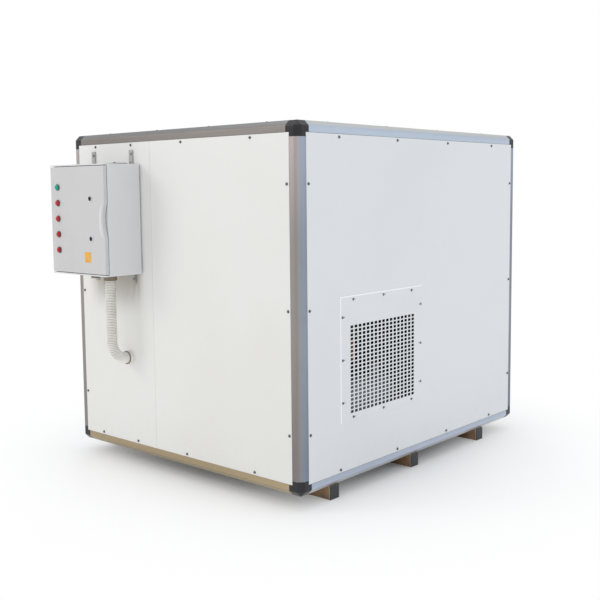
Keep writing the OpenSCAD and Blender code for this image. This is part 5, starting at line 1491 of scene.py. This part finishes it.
# ---------------------------------------------------------------- drain
# Condensate leaves by a brass line with a ball valve. Its steel lever has a red dipped sleeve,
# and a timed drain sits at the end of the line.
brass = drawn(
    "brass", 0.3, 1.0, (0.62, 0.43, 0.16), (0.48, 0.32, 0.12), (1.0, 0.2, 1.0), lines=320.0, smudge=0.8,
    roughness=0.3,
)
red_dip = coated(
    "red_dip", 0.5, (0.52, 0.022, 0.02), (0.42, 0.016, 0.016), (0.4, 0.38, 0.36), (0.16, 0.1, 0.08),
    scales=(40.0, 800.0), wear=0.4, dust=0.3, roughness=0.35, Coat_Weight=0.3,
)
dress("drain_line", "drain_pipework", 0.0009, 3, brass, "brass")
dress("drain_handle", "drain_lever", 0.0011, 3, red_dip, "handle_red", "drain_handle")
dress("auto_drain", "timed_drain", 0.0022, 3, gear_moulding, "gear_plastic")


# ---------------------------------------------------------------- compressor
# The hermetic compressor is two drawn steel halves welded round the middle, sprayed black, on
# four rubber feet.
compressor_coat = coated(
    "compressor_coat", 0.4, (0.014, 0.014, 0.015), (0.024, 0.024, 0.026), (0.3, 0.2, 0.14),
    (0.15, 0.14, 0.12), scales=(7.0, 420.0), wear=0.5, dust=0.6, roughness=0.28, splash=(0.1, 0.3),
    Coat_Weight=0.3,
)
dress("compressor", "compressor_shell", 0.0020, 3, compressor_coat, "compressor_paint")
dress("compressor_feet", "rubber_feet", 0.0016, 3, gasket_foam, "foot_rubber")


# ---------------------------------------------------------------- receiver and drier
# Liquid refrigerant gathers in a lying steel receiver with a red cast handwheel on its valve,
# and then runs through a filter drier with spun ends.
receiver_coat = coated(
    "receiver_coat", 0.4, (0.58, 0.65, 0.68), (0.50, 0.58, 0.62), (0.28, 0.16, 0.1), (0.18, 0.17, 0.15),
    scales=(6.0, 500.0), wear=0.5, dust=0.6, roughness=0.34, splash=(0.1, 0.3),
)
drier_coat = coated(
    "drier_coat", 0.3, (0.10, 0.26, 0.12), (0.08, 0.21, 0.10), (0.4, 0.38, 0.36), (0.2, 0.2, 0.17),
    scales=(14.0, 700.0), wear=0.3, dust=0.4, roughness=0.3,
)
dress("liquid_receiver", "receiver_vessel", 0.0016, 3, receiver_coat, "receiver_paint")
dress("receiver_handwheel", "cast_handwheel", 0.0008, 2, red_dip, "handle_red", "receiver_handwheel")
dress("filter_drier", "drier_shell", 0.0012, 3, drier_coat, "drier_paint")
dress("expansion_valve", "expansion_valve_body", 0.0010, 3, brass, "brass")


# ---------------------------------------------------------------- refrigerant lines
# Bent copper tube joins the circuit and is brazed at each end. It is bright where it was
# cleaned and brown where the flame ran over it.
copper = drawn(
    "copper", 0.25, 1.0, (0.72, 0.33, 0.20), (0.42, 0.18, 0.11), (1.0, 1.0, 1.0), lines=26.0,
    smudge=1.0, roughness=0.27,
)
dress("refrigerant_lines", "copper_lines", 0.0004, 2, copper, "copper")


# ---------------------------------------------------------------- condenser
# Copper hairpins run through a pack of pressed aluminium fins, 3 mm apart, between two steel
# end plates. Each fin is rippled to stir the air.
fin_low, fin_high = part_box("condenser_fins")
bare_fin = drawn(
    "bare_fin", 0.2, 1.0, (0.62, 0.63, 0.645), (0.52, 0.53, 0.545), (1.0, 1.0, 0.05), lines=240.0,
    smudge=0.5, roughness=0.36,
)


def rippled_fin():
    """One fin across X and Z with a ripple along X; its middle is at the origin."""
    shape = bmesh.new()
    half_x, half_z, half_t = (fin_high.x - fin_low.x) / 2, (fin_high.z - fin_low.z) / 2, 0.00012
    ripples = 10
    rows = []
    for i in range(ripples + 1):
        x = -half_x + 2 * half_x * i / ripples
        lift = 0.0007 * (1 if i % 2 else -1)
        rows.append([
            shape.verts.new((x, lift - half_t, -half_z)), shape.verts.new((x, lift - half_t, half_z)),
            shape.verts.new((x, lift + half_t, half_z)), shape.verts.new((x, lift + half_t, -half_z)),
        ])
    bridge(shape, rows)
    shape.faces.new(rows[0][::-1])
    shape.faces.new(rows[-1])
    bmesh.ops.recalc_face_normals(shape, faces=shape.faces)
    return unrounded("rippled_fin", shape)


def build_row_tree():
    """Repeats a piece along Y at an even pitch."""
    tree, given, result = geometry_tree(
        "row of fins", [("Count", "Int"), ("Pitch", "Float"), ("Finish", "Material")]
    )
    pitch_step = add_node(tree, "ShaderNodeCombineXYZ", {"Y": given["Pitch"]}).outputs["Vector"]
    line = add_node(tree, "GeometryNodeMeshLine", {"Count": given["Count"], "Offset": pitch_step})
    spots = {"Points": line.outputs["Mesh"], "Instance": given["Geometry"]}
    row = add_node(tree, "GeometryNodeInstanceOnPoints", spots).outputs["Instances"]
    return finish_tree(tree, given, result, row)


fine_pitch = 0.003
fine_count = int((fin_high.y - fin_low.y - 0.002) / fine_pitch)
fin_values = {"Count": fine_count, "Pitch": fine_pitch, "Finish": bare_fin}
fin_pack = grown("fin_pack", rippled_fin(), build_row_tree(), fin_values)
first_fin = Vector(((fin_low.x + fin_high.x) / 2, fin_low.y + 0.001, (fin_low.z + fin_high.z) / 2))
for vert in fin_pack.data.vertices:
    vert.co += first_fin
stands_for(fin_pack, bare_fin, "fin_aluminium", "condenser_fins")
dress("condenser_tubes", "hairpin_tubes", 0.0003, 1, copper, "copper")
dress("fan_shroud", "fan_duct", 0.0008, 2, galvanised, "shroud_steel")


# ---------------------------------------------------------------- fan guards
# Each fan has a guard of round steel wire welded to a flat rim and a hub plate that carries the
# motor. The guard is dipped in black plastic.
guard_coat = coated(
    "guard_coat", 0.3, (0.022, 0.022, 0.024), (0.034, 0.034, 0.036), (0.4, 0.4, 0.4), (0.2, 0.19, 0.17),
    scales=(30.0, 800.0), wear=0.2, dust=0.4, roughness=0.36,
)
guard_low, guard_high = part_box("fan_mounts")
fan_axis_z = 0.664
fan_middles = []
for fan_node in ("front_fan", "rear_fan"):
    spin_low, spin_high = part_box(fan_node)
    fan_middles.append(Vector((0, (spin_low.y + spin_high.y) / 2, fan_axis_z)))
guard_radius = (guard_high.y - guard_low.y - (fan_middles[1].y - fan_middles[0].y)) / 2
ring_radius = guard_radius - 0.024
stator_radius = 0.045
ring_pitch = 0.024
wire_radius = 0.0018


def build_guard_tree():
    """Wire rings at an even pitch with straight spokes across them, about Z."""
    tree, given, result = geometry_tree(
        "wire guard",
        [
            ("Rings", "Int"), ("First ring", "Float"), ("Ring pitch", "Float"), ("Spokes", "Int"),
            ("Spoke length", "Float"), ("Wire radius", "Float"), ("Finish", "Material"),
        ],
    )

    def repeated(count, curve, **spots):
        points = add_node(tree, "GeometryNodeMeshLine", {"Count": count, "Offset": (0, 0, 0)})
        spots = {"Points": points.outputs["Mesh"], "Instance": curve, **spots}
        return add_node(tree, "GeometryNodeInstanceOnPoints", spots).outputs["Instances"]

    def vector(**axes):
        return add_node(tree, "ShaderNodeCombineXYZ", axes).outputs["Vector"]

    index = add_node(tree, "GeometryNodeInputIndex").outputs["Index"]
    one_ring = add_node(tree, "GeometryNodeCurvePrimitiveCircle", {"Resolution": 96, "Radius": 1.0})
    ring_size = shader_maths(tree, "MULTIPLY", index, given["Ring pitch"])
    ring_size = shader_maths(tree, "ADD", ring_size, given["First ring"])
    rings = repeated(given["Rings"], one_ring.outputs["Curve"], Scale=ring_size)
    spoke_ends = {"Start": (0, 0, 0), "End": vector(X=given["Spoke length"])}
    one_spoke = add_node(tree, "GeometryNodeCurvePrimitiveLine", spoke_ends)
    full_turn = shader_maths(tree, "DIVIDE", 2 * math.pi, given["Spokes"])
    spoke_turn = vector(Z=shader_maths(tree, "MULTIPLY", index, full_turn))
    rotation = add_node(tree, "FunctionNodeEulerToRotation", {"Euler": spoke_turn}).outputs["Rotation"]
    spokes = repeated(given["Spokes"], one_spoke.outputs["Curve"], Rotation=rotation)
    wires = add_node(tree, "GeometryNodeJoinGeometry", {"Geometry": rings})
    set_inputs(tree, wires, {"Geometry": spokes})
    real = add_node(tree, "GeometryNodeRealizeInstances", {"Geometry": wires.outputs["Geometry"]})
    section = {"Resolution": 8, "Radius": given["Wire radius"]}
    section = add_node(tree, "GeometryNodeCurvePrimitiveCircle", section).outputs["Curve"]
    sweep = {"Curve": real.outputs["Geometry"], "Profile Curve": section, "Fill Caps": True}
    wires = add_node(tree, "GeometryNodeCurveToMesh", sweep).outputs["Mesh"]
    return finish_tree(tree, given, result, wires)


outward_way = (-1, 0, 0)
guard_face = guard_low.x + 0.003
guard_spots = [((guard_face, spot.y, spot.z), outward_way) for spot in fan_middles]
wire_spots = [((guard_face + 0.002, spot.y, spot.z), outward_way) for spot in fan_middles]
wire_start = linked("wire_start", bpy.data.meshes.new("wire_start"))
one_guard = grown(
    "one_guard",
    wire_start,
    build_guard_tree(),
    {
        "Rings": 8,
        "First ring": stator_radius + ring_pitch - 0.002,
        "Ring pitch": ring_pitch,
        "Spokes": 8,
        "Spoke length": ring_radius + 0.004,
        "Wire radius": wire_radius,
        "Finish": guard_coat,
    },
)
wire_guards = copies("wire_guards", one_guard, wire_spots, guard_coat)
stands_for(wire_guards, guard_coat, "guard_paint", "fan_mounts")

rim_outline = [
    (ring_radius - 0.003, -0.0038), (guard_radius - 0.0006, -0.0038), (guard_radius, -0.0032),
    (guard_radius, -0.0008), (guard_radius - 0.0008, 0.0), (ring_radius - 0.0022, 0.0),
    (ring_radius - 0.003, -0.0008),
]
guard_rims = copies("guard_rims", turned("rim", rim_outline, 96, 40), guard_spots, guard_coat)
stands_for(guard_rims, guard_coat, "guard_paint")


def guard_bolt_places():
    """The four rim bolts of each guard."""
    places = []
    for spot in fan_middles:
        for quarter in range(4):
            angle = math.radians(22.5) + quarter * math.pi / 2
            reach = guard_radius - 0.009
            y, z = spot.y + reach * math.cos(angle), spot.z + reach * math.sin(angle)
            places.append(((guard_face + 0.0016, y, z), outward_way, quarter * 0.4))
    return places


def guard_bolt():
    """A short flanged bolt that stands 3 mm proud of its seat."""
    outline = [
        (0, -0.002), (0.0055, -0.002), (0.0055, 0.0016), (0.0050, 0.0021), (0.0036, 0.0022),
        (0.0034, 0.0040), (0.0028, 0.0045), (0, 0.0043),
    ]
    return turned("guard_bolt", outline, 6, 20)


guard_bolts = copies("guard_bolts", guard_bolt(), guard_bolt_places(), bright_zinc)
stands_for(guard_bolts, bright_zinc, "guard_paint")

shaft_reach = 0.124 - 0.0004
motor_outline = [
    (0, 0.0), (0.050, 0.0), (0.0525, -0.0010), (0.053, -0.0036), (0.0446, -0.0040), (0.0446, -0.0070),
]
for groove in range(6):
    start = -0.008 - 0.0042 * groove
    steps = ((0.0446, 0.0), (0.0420, 0.0004), (0.0420, 0.0020), (0.0446, 0.0024))
    motor_outline += [(radius, start - depth) for radius, depth in steps]
motor_outline += [
    (0.0440, -0.0334), (0.0120, -0.0338), (0.0120, 0.001 - shaft_reach), (0.0110, -shaft_reach),
    (0, -shaft_reach),
]
motor_coat = coated(
    "motor_coat", 0.4, (0.045, 0.047, 0.05), (0.06, 0.062, 0.066), (0.4, 0.4, 0.4), (0.2, 0.19, 0.17),
    scales=(22.0, 700.0), wear=0.4, dust=0.4, roughness=0.4, Metallic=0.3,
)
fan_motors = copies("fan_motors", turned("motor", motor_outline[::-1], 48, 30), guard_spots, motor_coat)
stands_for(fan_motors, motor_coat, "guard_paint")


# ---------------------------------------------------------------- fan wheels
# The axial wheels are moulded in black glass-filled plastic. Five cambered blades twist from
# the hub to the tip, where each is cut close to the ring.
wheel_plastic = coated(
    "wheel_plastic", 0.5, (0.02, 0.02, 0.022), (0.032, 0.032, 0.035), (0.3, 0.3, 0.3),
    (0.22, 0.2, 0.18), scales=(16.0, 500.0), wear=0.3, dust=0.5, roughness=0.42,
)
blade_count = 5
hub_radius = 0.070
tip_radius = ring_radius - 0.0083


def add_blade(shape, angle):
    """One cambered, twisted blade that points along +Y before it is turned about Z."""
    stations, chord_steps = 12, 10
    turned_by = Matrix.Rotation(angle, 3, "Z")
    upper, lower = [], []
    for i in range(stations + 1):
        share = i / stations
        radius = hub_radius - 0.004 + share * (tip_radius - hub_radius + 0.004)
        chord = 0.078 + 0.060 * share
        pitch_angle = math.radians(33 - 9 * share)
        sweep = 0.018 * share ** 1.6
        over, under = [], []
        for k in range(chord_steps + 1):
            along = k / chord_steps - 0.5
            camber = 0.055 * chord * (1 - (2 * along) ** 2)
            half_thick = 0.0016 * max(0.22, (1 - (2 * along) ** 4)) * (1 - 0.35 * share)
            for side, row in ((1, over), (-1, under)):
                lift = camber + side * half_thick
                across = along * chord * math.cos(pitch_angle) - lift * math.sin(pitch_angle)
                height = along * chord * math.sin(pitch_angle) + lift * math.cos(pitch_angle)
                around = (across + sweep) / radius
                place = Vector((radius * math.sin(around), radius * math.cos(around), height - 0.003))
                row.append(shape.verts.new(turned_by @ place))
        upper.append(over)
        lower.append(under)
    for i in range(stations):
        for k in range(chord_steps):
            shape.faces.new((upper[i][k], upper[i + 1][k], upper[i + 1][k + 1], upper[i][k + 1]))
            shape.faces.new((lower[i][k], lower[i][k + 1], lower[i + 1][k + 1], lower[i + 1][k]))
        for k in (0, chord_steps):
            shape.faces.new((upper[i][k], lower[i][k], lower[i + 1][k], upper[i + 1][k]))
    for i in (0, stations):
        for k in range(chord_steps):
            shape.faces.new((upper[i][k], upper[i][k + 1], lower[i][k + 1], lower[i][k]))


def fan_wheel(name, middle):
    """A hub and its blades about the fan's own axis."""
    hub = turned(
        name,
        [
            (0.0125, -0.038), (0.058, -0.038), (0.0665, -0.036), (hub_radius, -0.031), (hub_radius, 0.030),
            (0.0672, 0.0352), (0.060, 0.0378), (0.046, 0.039), (0.040, 0.0365), (0.020, 0.0365),
            (0.0175, 0.039), (0.0125, 0.039),
        ],
        64,
        30,
    )
    shape = opened(hub)
    for i in range(blade_count):
        add_blade(shape, 2 * math.pi * i / blade_count)
    bmesh.ops.recalc_face_normals(shape, faces=shape.faces)
    upright_spin = Matrix(((0, 0, 1), (1, 0, 0), (0, 1, 0)))
    bmesh.ops.transform(shape, verts=shape.verts, matrix=Matrix.Translation(middle) @ upright_spin.to_4x4())
    return finish_rounding(shape, name, 0, crease=34)


for fan_node in ("front_fan", "rear_fan"):
    spin_low, spin_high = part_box(fan_node)
    wheel_middle = ((spin_low.x + spin_high.x) / 2, (spin_low.y + spin_high.y) / 2, fan_axis_z)
    wheel = fan_wheel(fan_node + "_wheel", wheel_middle)
    stands_for(wheel, wheel_plastic, "fan_plastic", fan_node, body=fan_node)
